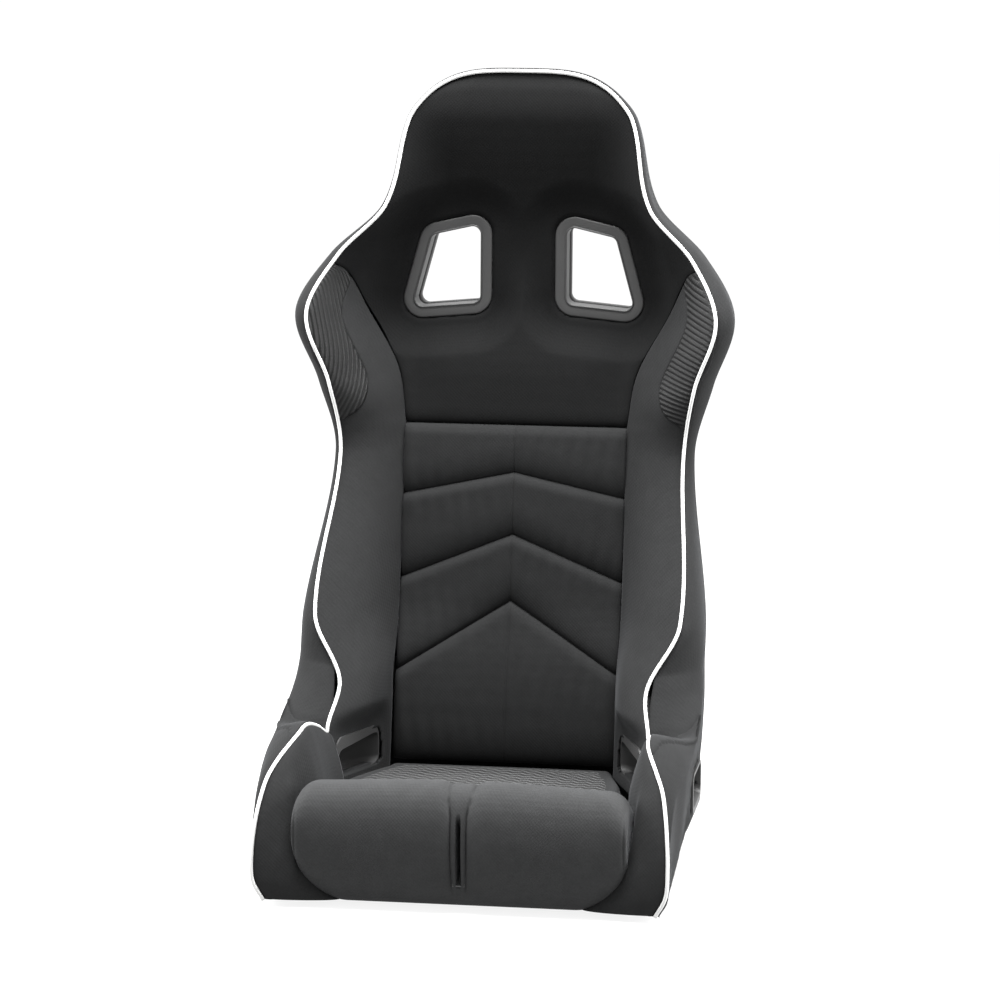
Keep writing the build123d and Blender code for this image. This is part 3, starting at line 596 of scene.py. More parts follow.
front, away = headSurface()
inner = front.copy()
liningY = rearY(np.minimum(front[..., 2], headRest["levelTop"])) - headRest["lining"]
inner[..., 1] = np.maximum(front[..., 1] + 4, liningY)
inner[..., 0] *= 0.985
rearHalf = at("outer", front[..., 2]) - at("tuck", front[..., 2]) - 10
inner[..., 0] = np.clip(inner[..., 0], -rearHalf, rearHalf)
inner[..., 2] -= 9 * smooth((front[..., 2] - 905) / 25)
middle = (away[:-1, :-1] + away[1:, :-1] + away[:-1, 1:] + away[1:, 1:]) / 4
headPanel = pad("headPanel", front, inner, [headClothPaintedShade], keep=middle > window["hole"])
settle(headPanel, "frame", ["head_pad"])
print("headrest panel made")


# chevron panel: four padded bars between inverted V seams, and a seam down the middle

chevron = {"half": 138.3, "tips": [504.2, 448, 372, 291, 96], "corners": [504.2, 419, 316, 205, 96],
           "rows": 30, "cols": 121, "depth": 11.0, "topReach": 13, "footReach": 40,
           "sideReach": 12, "sideDepth": 4.5, "foam": 24,
           "midDepth": 1.6, "midReach": 4.5, "lift": 3.5, "ripple": 0.35}


def chevronSurface():
    # across: -half to half; up: each bar's rows run between its two seams, crowded at both.
    # depth = back less the bars' swell, which rises fast below a seam and falls slowly above the next
    g = chevron
    t = crowded(g["cols"] // 2 + 1, 0.5)
    u = np.concatenate([-t[::-1], t[1:]])
    x = u * g["half"]
    rise = crowded(g["rows"], 0.75)[:, None]
    bars, swells = [], []
    for k in range(4):
        top = g["tips"][k] + (g["corners"][k] - g["tips"][k]) * np.abs(u)
        foot = g["tips"][k + 1] + (g["corners"][k + 1] - g["tips"][k + 1]) * np.abs(u)
        z = top + (foot - top) * rise
        slope = math.hypot(1, (g["corners"][k] - g["tips"][k]) / g["half"])
        swell = puff((top - z) / slope, g["topReach"]) * puff((z - foot) / slope, g["footReach"]) ** 0.9
        bars.append(z if k == 3 else z[:-1])
        swells.append(swell if k == 3 else swell[:-1])
    z = np.concatenate(bars)
    swell = np.concatenate(swells)
    x = x + 0 * z
    side = puff(g["half"] - np.abs(x), g["sideReach"])
    mid = g["midDepth"] * (1 - puff(np.abs(x), g["midReach"]))
    ripple = g["ripple"] * np.sin(x * 0.31 + 1.3 * np.sin(z * 0.045)) * np.sin(z * 0.021 + x * 0.01)
    y = frontY(z) + g["lift"] - g["depth"] * swell - g["sideDepth"] * (side - 1) + mid + ripple * swell
    return np.stack([x, y, z], -1)


front = chevronSurface()
inner = front.copy()
inner[..., 1] = frontY(front[..., 2]) + chevron["foam"]
chevronPanel = pad("chevronPanel", front, inner, [chevronCloth])
settle(chevronPanel, "frame", ["chevron_pad"])
print("chevron panel made")


# side bolsters, with the vinyl patches let into the shoulder wings

bolster = {"rows": 230, "cols": 72, "low": 88, "top": 703, "bulge": 0.105, "wingBulge": 0.05, "gap": -0.9,
           "seamDepth": 4.0, "seamReach": 11, "pipeDepth": 2.6, "pipeReach": 8,
           "patchSeam": [(500, 0.985), (513, 0.93), (523, 0.75), (536, 0.615), (552, 0.53), (567, 0.505),
                         (585, 0.515), (603, 0.522), (626, 0.522), (639, 0.50), (655, 0.44), (669, 0.32),
                         (680, 0.15), (688, 0.02)],
           "patchLow": 512, "patchHigh": 702, "patchProud": 1.3, "foam": 30,
           "patchDepth": 1.5, "patchReach": 4, "leafCols": 36}


def bolsterSurface():
    # up: heights; across: from the centre seam to the piping, split at the patch seam.
    # plan of a row = straight line from seam to piping, bowed square to it by a sine
    g = bolster
    z = (g["low"] + (g["top"] - g["low"]) * crowded(g["rows"], 0.2))[:, None]
    f = curve(g["patchSeam"], z)
    f = np.where(z < 500, 0.6 + (0.385) * smooth((z - 440) / 60), f)
    leaf = crowded(g["leafCols"], 0.6)
    rest = crowded(g["cols"] - g["leafCols"] + 1, 0.6)[1:]
    s = np.concatenate([f * leaf, f + (1 - f) * rest], 1)
    half = np.where(z < back["chevronTop"], back["panelHalf"], seamHalf(z)) + g["gap"]
    px, py = pipeX(z) - 1.2, pipeY(z)
    sx, sy = np.minimum(half, px - 0.8), backY(np.minimum(half, px - 0.8), z)
    dx, dy = px - sx, py - sy
    long = np.hypot(dx, dy)
    amount = g["bulge"] + (g["wingBulge"] - g["bulge"]) * smooth((z - 520) / 60)
    bow = amount * long * np.sin(np.pi * s ** 1.3)
    near = smooth((slotAway(sy + dy * s, z, lapSlot["innerZ"], 7) - 1) / 34)
    bow = bow * np.where(z < 240, near, 1.0)
    x = sx + dx * s + bow * dy / np.maximum(long, 1)
    y = sy + dy * s - bow * dx / np.maximum(long, 1)
    inward = np.stack([dy / np.maximum(long, 1), -dx / np.maximum(long, 1)])
    seamFall = g["seamDepth"] * (1 - puff(s * long, g["seamReach"]))
    pipeFall = g["pipeDepth"] * (1 - puff((1 - s) * long, g["pipeReach"]))
    patchOn = smooth((z - 508) / 8) * smooth((693 - z) / 8)
    patchFall = g["patchDepth"] * (1 - puff(np.abs(s - f) * long, g["patchReach"])) * patchOn
    fall = seamFall + pipeFall + patchFall
    x = x - inward[0] * fall
    y = y - inward[1] * fall
    uv = np.stack([s * long, z + 0 * s], -1)
    return np.stack([x, y, z + 0 * x], -1), s, f, inward, uv


front, s, f, inward, uv = bolsterSurface()
hole = slotAway(front[..., 1], front[..., 2], lapSlot["innerZ"])
inner = front.copy()
inner[..., 0] = np.minimum(front[..., 0] + 8, at("outer", front[..., 2]) - 12)
inner[..., 1] = front[..., 1] + bolster["foam"]
middle = (hole[:-1, :-1] + hole[1:, :-1] + hole[:-1, 1:] + hole[1:, 1:]) / 4
keepers = (middle > 3.0) | (front[:-1, :-1, 2] > 170)
for side, turn in sides.items():
    piece = pad(f"sideBolster_{side}", turn(front), turn(inner), [bolsterCloth], keep=keepers)
    settle(piece, "frame", [f"side_bolster_{side}"])

# the patch: the outer columns of the same surface, a little proud, its own edges turned in
patchLow, patchHigh = bolster["patchLow"], bolster["patchHigh"]
patchRows = np.nonzero((front[:, 0, 2] > patchLow) & (front[:, 0, 2] < patchHigh))[0]
patchGrid = np.ix_(patchRows, range(bolster["leafCols"] - 1, bolster["cols"]))
plate = front[patchGrid]
steps = np.linalg.norm(np.diff(plate, axis=1), axis=2)
across = np.concatenate([np.zeros((len(patchRows), 1)), np.cumsum(steps, 1)], 1)
sideEdge = np.minimum(across, (across[:, -1:] - across) + 1.0)
endEdge = np.minimum(plate[..., 2] - patchLow, patchHigh - plate[..., 2]) + 0.5
proud = bolster["patchProud"] - 2.0 * (1 - puff(np.minimum(sideEdge, endEdge), 3.5))
lift = np.stack([inward[0][patchRows] + 0 * proud, inward[1][patchRows] + 0 * proud, 0 * proud], -1)
plateTop = plate + lift * proud[..., None]
plateUnder = plate - lift * 1.2
for side, turn in sides.items():
    finish = ribVinyl[side]
    flip = np.array([-1 if side == "left" else 1, 1])
    piece = pad(f"wingPatch_{side}", turn(plateTop), turn(plateUnder), [finish], uv=uv[patchGrid] * flip)
    settle(piece, "frame", [f"wing_patch_{side}"])
print("side bolsters and wing patches made")


# outer cover: one skin of cloth from the piping round the sides, down to the floor and forward

base = {
    # the piping's line from the hip notch over the crest of the base and down to the floor: share, x, y, z
    "pipe": [(0.0, 188, 9, 232), (0.10, 187.5, -10, 204), (0.19, 190, -33, 176), (0.25, 192.5, -47, 160.5),
             (0.33, 198, -78, 173), (0.41, 201.5, -108, 182), (0.48, 203, -136, 185.5),
             (0.55, 205, -162, 182),
             (0.61, 211, -186, 174), (0.67, 220, -209, 161), (0.73, 229, -228, 143), (0.79, 234, -244, 121),
             (0.85, 237.5, -257, 95), (0.90, 239.5, -266, 64), (0.95, 238, -269.5, 32), (1.0, 226, -266, 8)],
    # far edge of the cover: down the rear corner, and forward along the floor
    "far": [(0.0, 222, 200, 232), (0.08, 219, 192, 170), (0.16, 213, 178, 90), (0.24, 206, 160, 22),
            (0.30, 203, 134, 6.5), (0.38, 207, 84, 6.5), (0.46, 212, 24, 6.5), (0.54, 216, -40, 6.5),
            (0.64, 220, -112, 6.5), (0.76, 225, -190, 6.5),
            (0.88, 226, -240, 6.5), (1.0, 218, -258, 6.5)],
    # the widest line of the cover, between the piping and the far edge
    "wide": [(0.0, 248, 65.2, 232), (0.05, 249, 59, 219), (0.10, 250, 48, 207), (0.19, 251, 12, 189),
             (0.25, 252, -26, 177),
             (0.33, 252, -70, 163),
             (0.41, 251.5, -104, 152), (0.48, 251, -134, 142), (0.55, 250, -160, 132), (0.61, 249, -182, 121),
             (0.67, 248, -203, 107), (0.73, 247, -222, 91), (0.79, 246, -236, 73), (0.85, 244.5, -248, 54),
             (0.90, 242.5, -256, 38), (0.95, 238, -261, 22), (1.0, 231, -261, 8)],
    "rows": 150, "sideRows": 150, "topRows": 34, "cols": 46, "skin": 3.0,
}


def line(points, k):
    # a smooth line through (share, x, y, z) points
    table = np.array(points, float)
    return np.stack([curve(list(zip(table[:, 0], table[:, c])), k) for c in (1, 2, 3)], -1)


def baseOuter(y, z):
    # half-width of the base, tucked in toward the floor
    half = 250 + curve([(-274, -8), (-206, -6), (-140, 0), (60, 0), (120, -4), (168, -14)], y)
    tuck = curve([(-274, 3), (-154, 14), (-60, 24), (168, 20)], y)
    return half - tuck * curve([(0, 1.0), (70, 0.45), (150, 0.0)], z)


def topPath(u):
    # over the headrest, from one corner to the other
    corner = float(pipeX(back["sideTop"])) - 0.4
    z = crownRow(np.full_like(u, back["sideTop"]), u)
    return np.stack([corner * u, pipeY(np.minimum(z, 930)), z], -1)


def coverSurface():
    # rows follow the piping from the middle of the headrest to the floor at the front;
    # across: a quarter ellipse from the piping out to the widest line, another in to the far edge
    g = base
    u = np.linspace(0, 1, g["topRows"])[:-1]
    topPipe = topPath(u)
    ze = 913 - (913 - 232) * np.linspace(0, 1, g["sideRows"])
    sidePipe = np.stack([pipeX(ze) - 0.4, pipeY(ze), ze], -1)
    k = np.linspace(0, 1, g["rows"])[1:]
    fade = 1 - smooth(k / 0.22)[:, None]
    basePipe = line(g["pipe"], k) + (sidePipe[-1] - line(g["pipe"], 0.0)) * fade
    pipe = np.concatenate([topPipe, sidePipe, basePipe])
    along = np.gradient(pipe, axis=0)
    out = np.stack([-along[:, 2], 0 * along[:, 0], along[:, 0]], -1)
    out /= np.linalg.norm(out, axis=1, keepdims=True)
    upward = smooth((pipe[:, 2:3] - 790) / 90)
    out = np.array([1.0, 0, 0]) * (1 - upward) + out * upward
    out /= np.linalg.norm(out, axis=1, keepdims=True)
    z = np.concatenate([topPipe[:, 2], ze])
    z = np.minimum(z, 920)
    grow = np.maximum(at("sideOut", z), 4.0)[:, None]
    rise = at("sideBack", z)[:, None]
    tuck = (at("tuck", z)[:, None] - grow)
    nTop = len(z)
    mid = pipe[:nTop] + out[:nTop] * grow + np.array([0, 1.0, 0]) * rise
    far = pipe[:nTop] - out[:nTop] * tuck
    far[:, 1] = rearY(z)
    farBase = line(g["far"], k)
    midBase = line(g["wide"], k)
    midBase += (mid[-1] - line(g["wide"], 0.0)) * fade
    mid = np.concatenate([mid, midBase])
    farBase += (far[-1] - line(g["far"], 0.0)) * fade
    far = np.concatenate([far, farBase])
    pipe = pipe + out * 2.2 + np.array([0, 2.4, 0])
    half = crowded(g["cols"] // 2 + 1, 0.3)[None, :, None]
    pipe, mid, far, out = (rows[:, None] for rows in (pipe, mid, far, out))
    firstCorner = pipe + out * ((mid - pipe) * out).sum(-1, keepdims=True)
    secondCorner = far - out * ((far - mid) * out).sum(-1, keepdims=True)
    firstHalf = arc(pipe, firstCorner, mid, half, 0.707)
    secondHalf = arc(mid, secondCorner, far, half[:, 1:], 0.55)
    surface = np.concatenate([firstHalf, secondHalf], 1)
    x, y, z = surface[..., 0], surface[..., 1], surface[..., 2]
    limit = baseOuter(y, z) + 0.4
    onBase = smooth((185 - z) / 50) * (np.arange(len(z)) >= nTop)[:, None]
    x = np.where(onBase > 0, x + (np.minimum(x, limit) - x) * onBase, x)
    slot = slotAway(y, z, lapSlot["outerZ"], 6)
    near = smooth((slot - 1) / 26) + (x < 150) + (z > 200)
    near = np.clip(near, 0, 1)
    x = np.where(near < 1, x * near + (243.6 + 1.2 * puff(slot - 0.4, 5)) * (1 - near), x)
    return np.stack([x, y, z], -1)


surface = coverSurface()
surface = np.concatenate([mirrored(surface[1:][::-1]), surface])
inward = normals(surface)
toward = np.sign((inward * (surface - np.array([0, 120, 300]))).sum(-1, keepdims=True))
inside = surface - inward * toward * base["skin"]
hole = slotAway(surface[..., 1], surface[..., 2], lapSlot["outerZ"])
hole = hole + 200 * (np.abs(surface[..., 0]) < 200)
middle = (hole[:-1, :-1] + hole[1:, :-1] + hole[:-1, 1:] + hole[1:, 1:]) / 4
outerCover = pad("outerCover", surface, inside, [coverCloth], keep=middle > 2.6)
coverNodes = ["side_panel_left", "side_panel_right", "base_side_panel_left", "base_side_panel_right"]
settle(outerCover, "frame", coverNodes)
print("outer cover made")


# rear cover

rearCover = {"rows": 170, "cols": 121, "skin": 3.0, "seamDepth": 2.5, "seamReach": 9}


def rearSurface():
    # across: u between the rear corners; up: rows from the floor to the top of the headrest
    g = rearCover
    ends = np.linspace(7, back["sideTop"], g["rows"])[:, None]
    t = crowded(g["cols"] // 2 + 1, 0.45)
    u = np.concatenate([-t[::-1], t[1:]])
    corner = at("outer", ends) - at("tuck", ends)
    low = line(base["far"], curve([(7, 0.28), (22, 0.24), (90, 0.16), (170, 0.08), (232, 0.0)], ends[:, 0]))
    corner = np.where(ends < 232, low[:, :1], corner)
    x = u * (corner - 0.4)
    z = crownRow(ends, u) - 1.5 * smooth((ends - 860) / 50) + 0 * x
    y = rearY(np.minimum(z, 925))
    y = np.where(ends < 232, low[:, 1:2] + 0 * x + (rearY(z) - low[:, 1:2]) * smooth((1 - np.abs(u)) * 5), y)
    fall = g["seamDepth"] * (1 - puff((1 - np.abs(u)) * corner, g["seamReach"]))
    away = windowAway(x, z)
    y = y - fall + 1.5 * (1 - np.abs(u) ** 3)
    share = 1 - (1 - smooth((away - window["flange"] - 1) / 40)) * smooth((corner - np.abs(x)) / 30)
    y = windowRear - 0.6 + (y - windowRear + 0.6) * share
    return np.stack([x, y, z], -1), away


surface, away = rearSurface()
inside = surface - np.array([0, rearCover["skin"], 0])
middle = (away[:-1, :-1] + away[1:, :-1] + away[:-1, 1:] + away[1:, 1:]) / 4
rearPiece = pad("rearCover", surface, inside, [coverCloth], keep=middle > 6.0)
settle(rearPiece, "frame", ["rear_cover"])
print("rear cover made")


# base bolsters: from the piping over the crest, inward and down beside the cushion and roll

baseFront = {
    "inner": [(0.25, 171, -47, 94), (0.33, 177, -80, 98), (0.41, 179, -108, 100), (0.48, 180, -136, 104),
              (0.55, 183, -160, 110), (0.61, 190, -182, 116), (0.67, 196.5, -202, 118),
              (0.73, 197, -218, 112), (0.79, 196, -229, 98), (0.85, 193, -237, 76), (0.90, 184, -243, 50),
              (0.95, 166, -247, 24), (1.0, 140, -244, 6.5)],
    "rows": 130, "cols": 44, "pipeDepth": 2.4, "pipeReach": 9,
}


def baseSurface():
    # rows from the hip notch to the floor; across: a conic up from the inner line, over to the piping
    g = baseFront
    k = np.linspace(0.252, 0.998, g["rows"])
    pipe, inner = line(base["pipe"], k), line(g["inner"], k)
    pipe = pipe + np.array([-1.6, 0, 0])
    cornerY = pipe[:, 1] - 3 * smooth((k - 0.6) / 0.2)
    corner = np.stack([inner[:, 0] + 2, cornerY, pipe[:, 2] + 1.0 * (k < 0.8)], -1)
    s = crowded(g["cols"], 0.5)[None, :, None]
    pipe, corner, inner = pipe[:, None], corner[:, None], inner[:, None]
    weight = (0.24 + 0.36 * smooth((k - 0.5) / 0.2))[:, None, None]
    surface = arc(inner, corner, pipe, s, weight)
    n = normals(surface)
    n *= np.sign((n * (surface - np.array([205, -100, 60]))).sum(-1, keepdims=True))
    away = np.linalg.norm(surface - pipe, axis=-1)
    return surface - n * (g["pipeDepth"] * (1 - puff(away, g["pipeReach"])))[..., None]


surface = baseSurface()
inside = surface.copy()
inside[..., 0] = np.clip(surface[..., 0] + 4, 200, 232)
inside[..., 1] = np.maximum(surface[..., 1] + 6, -246)
inside[..., 2] = 7.5 + 0.02 * surface[..., 2]
for side, turn in sides.items():
    piece = pad(f"baseBolster_{side}", turn(surface), turn(inside), [bolsterCloth])
    settle(piece, "frame", [f"base_bolster_{side}"])
print("base bolsters made")


# thigh roll: two padded lobes either side of a sewn gusset with the strap slot in it

roll = {"half": 193, "rear": -187, "front": -273.5, "top": 146, "bottom": 4.5, "around": 120, "power": 2.6,
        "topRound": 26, "bottomRound": 62, "gusset": 9.5, "gussetDepth": 5.5, "slit": 2.2, "slitDepth": 26,
        "capSeam": 1.6, "crown": 1.5, "droop": 4,
        # where the rings crowd: distances from the middle, and from the ends
        "nearMiddle": [0, 0.6, 1.2, 1.7, 2.1, 2.5, 3.2, 4.5, 6.5, 8.2, 9.0, 9.5, 10.0, 10.8, 12.5,
                       15, 19, 24],
        "nearEnd": [20, 17, 14, 11, 8, 6, 4.5, 3.2, 2.2, 1.5, 1.0, 0.6, 0.3, 0.1, 0]}


def rollRings():
    # rings across the seat, each a rounded oblong in depth and height; the oblong shrinks at the ends
    g = roll
    t = np.concatenate([g["nearMiddle"], np.linspace(30, 170, 36), g["half"] - np.array(g["nearEnd"])])
    x = np.concatenate([-t[:0:-1], t])[:, None]
    end = g["half"] - np.abs(x)
    turn = np.linspace(0, 2 * np.pi, g["around"], endpoint=False)[None]
    cy, cz = np.cos(turn), np.sin(turn)
    topZ = g["top"] - g["topRound"] * (1 - puff(end, g["topRound"]))
    topZ = topZ + g["crown"] * np.cos(x / 60) - g["droop"] * smooth(np.abs(x) / 190 - 0.3)
    footZ = g["bottom"] + g["bottomRound"] * (1 - puff(end, g["bottomRound"]))
    midZ, halfZ = (topZ + footZ) / 2, (topZ - footZ) / 2
    p = 2 / g["power"]
    z = midZ + halfZ * np.sign(cz) * np.abs(cz) ** p
    bulge = 1 - 0.05 * (1 - puff(end, 22))
    midY, halfY = (g["rear"] + g["front"]) / 2, (g["rear"] - g["front"]) / 2
    y = midY + halfY * bulge * np.sign(cy) * np.abs(cy) ** p
    # the front leans back toward its foot
    y = y + 5 * smooth((90 - z) / 80) * (cy < 0) * np.abs(cy)
    n = np.stack([0 * y, cy + 0 * x, cz + 0 * x], -1)
    n /= np.linalg.norm(n, axis=-1, keepdims=True)
    width = g["gusset"] + 5.5 * smooth((z - 112) / 40) - 1.5 * smooth((70 - z) / 60)
    lobe = np.abs(x) - width
    facing = smooth((n[..., 1] * -1 + 0.75) / 0.6) * smooth((z - 18) / 18)
    face = g["gussetDepth"] * (1 - puff(lobe, 16))
    fall = np.where(lobe > 0, face, g["gussetDepth"] - 2.2 * puff(-lobe, 5))
    crease = 1.6 * np.exp(-(lobe / 0.9) ** 2)
    slitOn = smooth((z - 28) / 6) * smooth((118 - z) / 14) * (cy < 0)
    slit = g["slitDepth"] * slitOn * np.exp(-(np.abs(x) / g["slit"]) ** 4)
    capFall = g["capSeam"] * np.exp(-((end - 3.4) / 0.9) ** 2)
    total = (fall + crease) * facing + slit + capFall
    return np.stack([x + 0 * y, y - n[..., 1] * total, z - n[..., 2] * total], -1)


thighRoll = skin("thighRoll", rollRings(), [rollClothPaintedLight])
settle(thighRoll, "frame", ["thigh_roll"])
print("thigh roll made")


# loose cushion: air mesh top panel with a plain border

cushion = {"front": -185.0, "rear": 85.5, "bottom": 48.2, "border": 17, "crown": 4.5, "around": 200,
           "seamDepth": 1.3, "cols": 90}


def cushionRings():
    # rings from front to rear, each a rounded oblong in width and height with a crowned top
    g = cushion
    y = (g["front"] + (g["rear"] - g["front"]) * crowded(g["cols"], 0.5))[:, None]
    end = np.minimum(y - g["front"], g["rear"] - y)
    half = curve([(-186, 167.5), (-60, 162.5), (92, 133.5)], y) - 3.5 * (1 - puff(end, 9))
    top = curve([(-186, 124), (-80, 111), (62, 97)], y) - 9 * (1 - puff(end, 12))
    foot = g["bottom"] + 5 * (1 - puff(end, 8))
    # most points run along the top
    t = np.linspace(0, 2 * np.pi, g["around"], endpoint=False)[None]
    cx, cz = np.cos(t), np.sin(t)
    x = half * np.clip(np.sign(cx) * np.abs(cx) ** 0.72 * 1.06, -1, 1)
    lid = np.abs(cz) > 0.40
    share = np.clip(np.abs(cz) / 0.40, 0, 1)
    corner = puff(half - np.abs(x), 9)
    halfZ = (top - foot) / 2
    z = (top + foot) / 2 + np.sign(cz) * halfZ * np.where(lid, 1.0, share)
    z = z - np.sign(cz) * (1 - corner) * 7 * (share ** 3)
    crown = g["crown"] * (1 - (x / half) ** 2) * smooth(end / 60) * (cz > 0) * lid
    inset = np.minimum(half - np.abs(x), end) - g["border"]
    seam = g["seamDepth"] * np.exp(-(inset / 1.6) ** 2) * (cz > 0.4)
    return np.stack([x, y + 0 * x, z + crown - seam], -1)


rings = cushionRings()
seatCushion = skin("seatCushion", rings, [coverCloth, airMesh])
mesh = seatCushion.data
centres = np.empty(len(mesh.polygons) * 3)
mesh.polygons.foreach_get("center", centres)
facing = np.empty(len(mesh.polygons) * 3)
mesh.polygons.foreach_get("normal", facing)
centres, facing = centres.reshape(-1, 3) / mm, facing.reshape(-1, 3)
half = curve([(-186, 167.5), (-60, 162.5), (92, 133.5)], centres[:, 1])
inset = np.minimum(half - np.abs(centres[:, 0]), 85.5 - centres[:, 1]) - cushion["border"]
mesh.polygons.foreach_set("material_index", ((inset > 0) & (facing[:, 2] > 0.5)).astype(np.int32))
settle(seatCushion, "cushion", ["seat_cushion"])
print("seat cushion made")


# piping

piping = {"radius": 2.2}
u = np.linspace(0, 1, 44)[:-1]
over = topPath(u) + np.array([0, 0, 0.6])
ze = 913 - (913 - 160) * np.linspace(0, 1, 260)
down = np.stack([pipeX(ze) + 0.3, pipeY(ze), ze], -1)
run = np.concatenate([over, down])
run = np.concatenate([mirrored(run[1:][::-1]), run])
backPiping = skin("backPiping", cordRings(run, piping["radius"], (0, 1, 0)), [whitePiping])
settle(backPiping, "frame", ["back_piping"])
run = line(base["pipe"], np.linspace(0.252, 1.0, 150)) + np.array([0.4, 0, 0])
for side, turn in sides.items():
    piece = skin(f"basePiping_{side}", cordRings(turn(run), piping["radius"], (1, 0, 0)), [whitePiping])
    settle(piece, "frame", [f"base_piping_{side}"])
print("piping made")


# window bezels: a rolled lip, a flat flange with a soft edge, and a sleeve through the foam

def bezelRings(profile):
    # the profile's points, each (outward, depth), carried round the window's outline
    loops = [np.insert(windowLine(outward), 1, depth, axis=1) for outward, depth in profile]
    return np.stack(loops, 1)


def ring(name, loops, finishes):
    # closed both ways round
    count, around = loops.shape[:2]
    index = np.arange(count * around).reshape(count, around)
    turn, step = np.roll(index, -1, 1), np.roll(index, -1, 0)
    both = np.roll(turn, -1, 0)
    quads = np.stack([index, turn, both, step], -1).reshape(-1, 4)
    return meshPiece(name, loops.reshape(-1, 3), quads, finishes)


front0, rear0 = windowFront - window["plate"], windowRear + window["plate"]
midway = (windowFront + windowRear) / 2
rim, wall = window["flange"], window["sleeve"]
frontProfile = [(0.0, midway - 0.6), (0.0, front0 + 1.6), (0.0, front0 + 0.2), (0.15, front0 - 0.5),
                (0.6, front0 - 0.95), (1.2, front0 - 1.0), (1.8, front0 - 0.7), (2.05, front0 - 0.2),
                (2.2, front0 + 0.35), (2.6, front0 + 0.5), (3.4, front0 + 0.25), (6.0, front0 - 0.1),
                (rim - 2.3, front0), (rim - 1.1, front0 + 0.35), (rim - 0.4, front0 + 1.0),
                (rim, front0 + 2.0), (rim, windowFront), (wall, windowFront), (wall, midway - 0.6)]
rearProfile = [(0.0, midway + 0.4), (0.0, rear0 - 1.4), (0.3, rear0 - 0.4), (1.2, rear0), (rim - 1.9, rear0),
               (rim - 0.5, rear0 - 0.6), (rim, rear0 - 1.8), (rim, windowRear), (wall, windowRear),
               (wall, midway + 0.4)]
for side, turn in sides.items():
    piece = ring(f"windowBezel_{side}", turn(bezelRings(frontProfile)), [bezelPlastic])
    settle(piece, "frame", [f"window_bezel_{side}"])
    piece = ring(f"rearWindowBezel_{side}", turn(bezelRings(rearProfile)), [bezelPlastic])
    settle(piece, "frame", [f"rear_window_bezel_{side}"])
print("window bezels made")


# what stays as the frame has it, with its finish

kept = {
    framePaint: ["side_tube_left", "side_tube_right", "head_hoop", "base_tube_left", "base_tube_right",
                 "wing_tube_left", "wing_tube_right", "lumbar_cross_tube", "shoulder_cross_tube",
                 "neck_cross_tube", "front_cross_tube", "rear_cross_tube", "mount_rail_left",
                 "mount_rail_right", "front_pan"],
    zincSteel: ["mount_bosses", "bezel_screws", "spring_clips", "strap_hooks"],
    springSteel: ["seat_springs"],
    webbing: ["back_straps"],
    hookLoop: ["hook_tapes", "loop_tapes"],
    liningCloth: ["deck_cloth", "underside_cover"],
    bezelPlastic: ["inner_lap_bezel_left", "inner_lap_bezel_right", "outer_lap_bezel_left",
                   "outer_lap_bezel_right", "strap_slot_liner"],
}
for finish, nodes in kept.items():
    for node in nodes:
        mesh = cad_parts[node].data
        mesh.materials.clear()
        mesh.materials.append(finish)
print("kept parts finished")


# floor, light and camera

studio = {"floor": 0.15, "glow": 0.86, "world": 1.03, "key": 430, "left": 210, "right": 190, "back": 16}

floorMesh = bpy.data.meshes.new("floor")
floorMesh.from_pydata([(-9, -7, 0), (9, -7, 0), (9, 14, 0), (-9, 14, 0)], [], [(0, 1, 2, 3)])
floor = bpy.data.objects.new("floor", floorMesh)
bpy.context.scene.collection.objects.link(floor)
paper = Finish("studioPaper")
floorMesh.materials.append(paper.shade(**{
    "Base Color": grey(studio["floor"]), "Roughness": 0.9, "Specular IOR Level": 0.0,
    "Emission Color": (1, 1, 1, 1), "Emission Strength": studio["glow"]}))

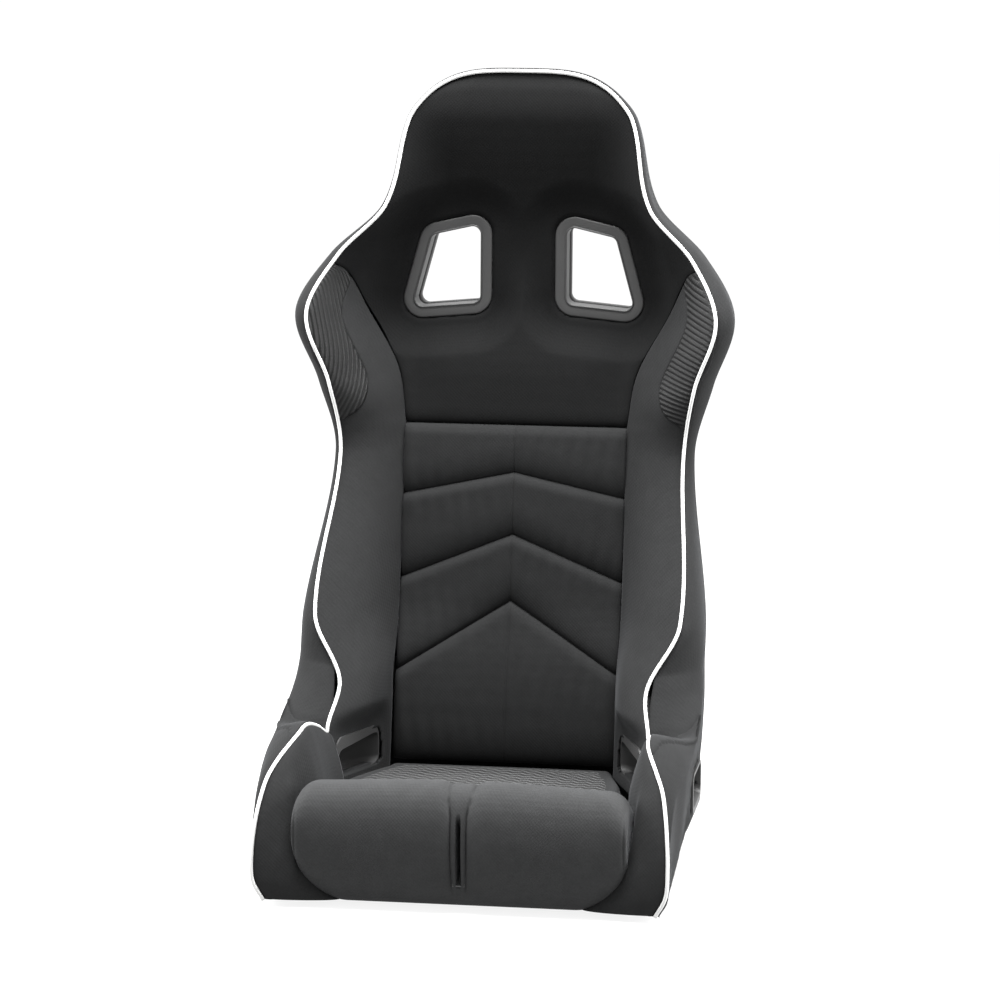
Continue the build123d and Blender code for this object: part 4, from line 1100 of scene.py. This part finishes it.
world = bpy.data.worlds.new("studio")
world.use_nodes = True
world.node_tree.nodes["Background"].inputs[0].default_value = (1, 1, 1, 1)
world.node_tree.nodes["Background"].inputs[1].default_value = studio["world"]
bpy.context.scene.world = world
bpy.context.scene.view_settings.view_transform = "Standard"


def softBox(name, place, target, size, power):
    light = bpy.data.lights.new(name, "AREA")
    light.shape = "RECTANGLE"
    light.size, light.size_y = size
    light.energy = power
    lamp = bpy.data.objects.new(name, light)
    lamp.location = place
    aim = np.array(target, float) - np.array(place, float)
    flat = math.hypot(aim[0], aim[1])
    lamp.rotation_euler = (math.atan2(flat, -aim[2]), 0, math.atan2(-aim[0], aim[1]))
    bpy.context.scene.collection.objects.link(lamp)
    return lamp


softBox("topLight", (0.1, -0.25, 3.0), (0, 0.0, 0.4), (1.8, 1.2), studio["key"])
softBox("leftLight", (-2.6, 0.0, 1.2), (-0.1, 0, 0.45), (1.0, 1.8), studio["left"])
softBox("rightLight", (2.7, 0.0, 1.2), (0.1, 0, 0.45), (1.0, 1.8), studio["right"])
softBox("rearLight", (0.0, 2.6, 2.2), (0, 0.1, 0.5), (2.0, 1.4), studio["back"])

view = {"azimuth": 8.1, "elevation": 8.8, "roll": 0.45, "distance": 4.6, "target": (0.0073, 0, 0.4398),
        "lens": 138.9}
a, e, r = (math.radians(view[key]) for key in ("azimuth", "elevation", "roll"))
backward = np.array([math.sin(a) * math.cos(e), -math.cos(a) * math.cos(e), math.sin(e)])
right = np.array([math.cos(a), math.sin(a), 0])
up = np.cross(backward, right)
right, up = math.cos(r) * right + math.sin(r) * up, -math.sin(r) * right + math.cos(r) * up
eye = np.array(view["target"]) + backward * view["distance"]
lens = bpy.data.cameras.new("camera")
lens.lens, lens.sensor_width, lens.sensor_fit = view["lens"], 36, "HORIZONTAL"
camera = bpy.data.objects.new("camera", lens)
turned = Matrix([[right[k], up[k], backward[k], eye[k]] for k in range(3)] + [[0, 0, 0, 1]])
camera.matrix_world = turned
bpy.context.scene.collection.objects.link(camera)
bpy.context.scene.camera = camera
print("studio ready")
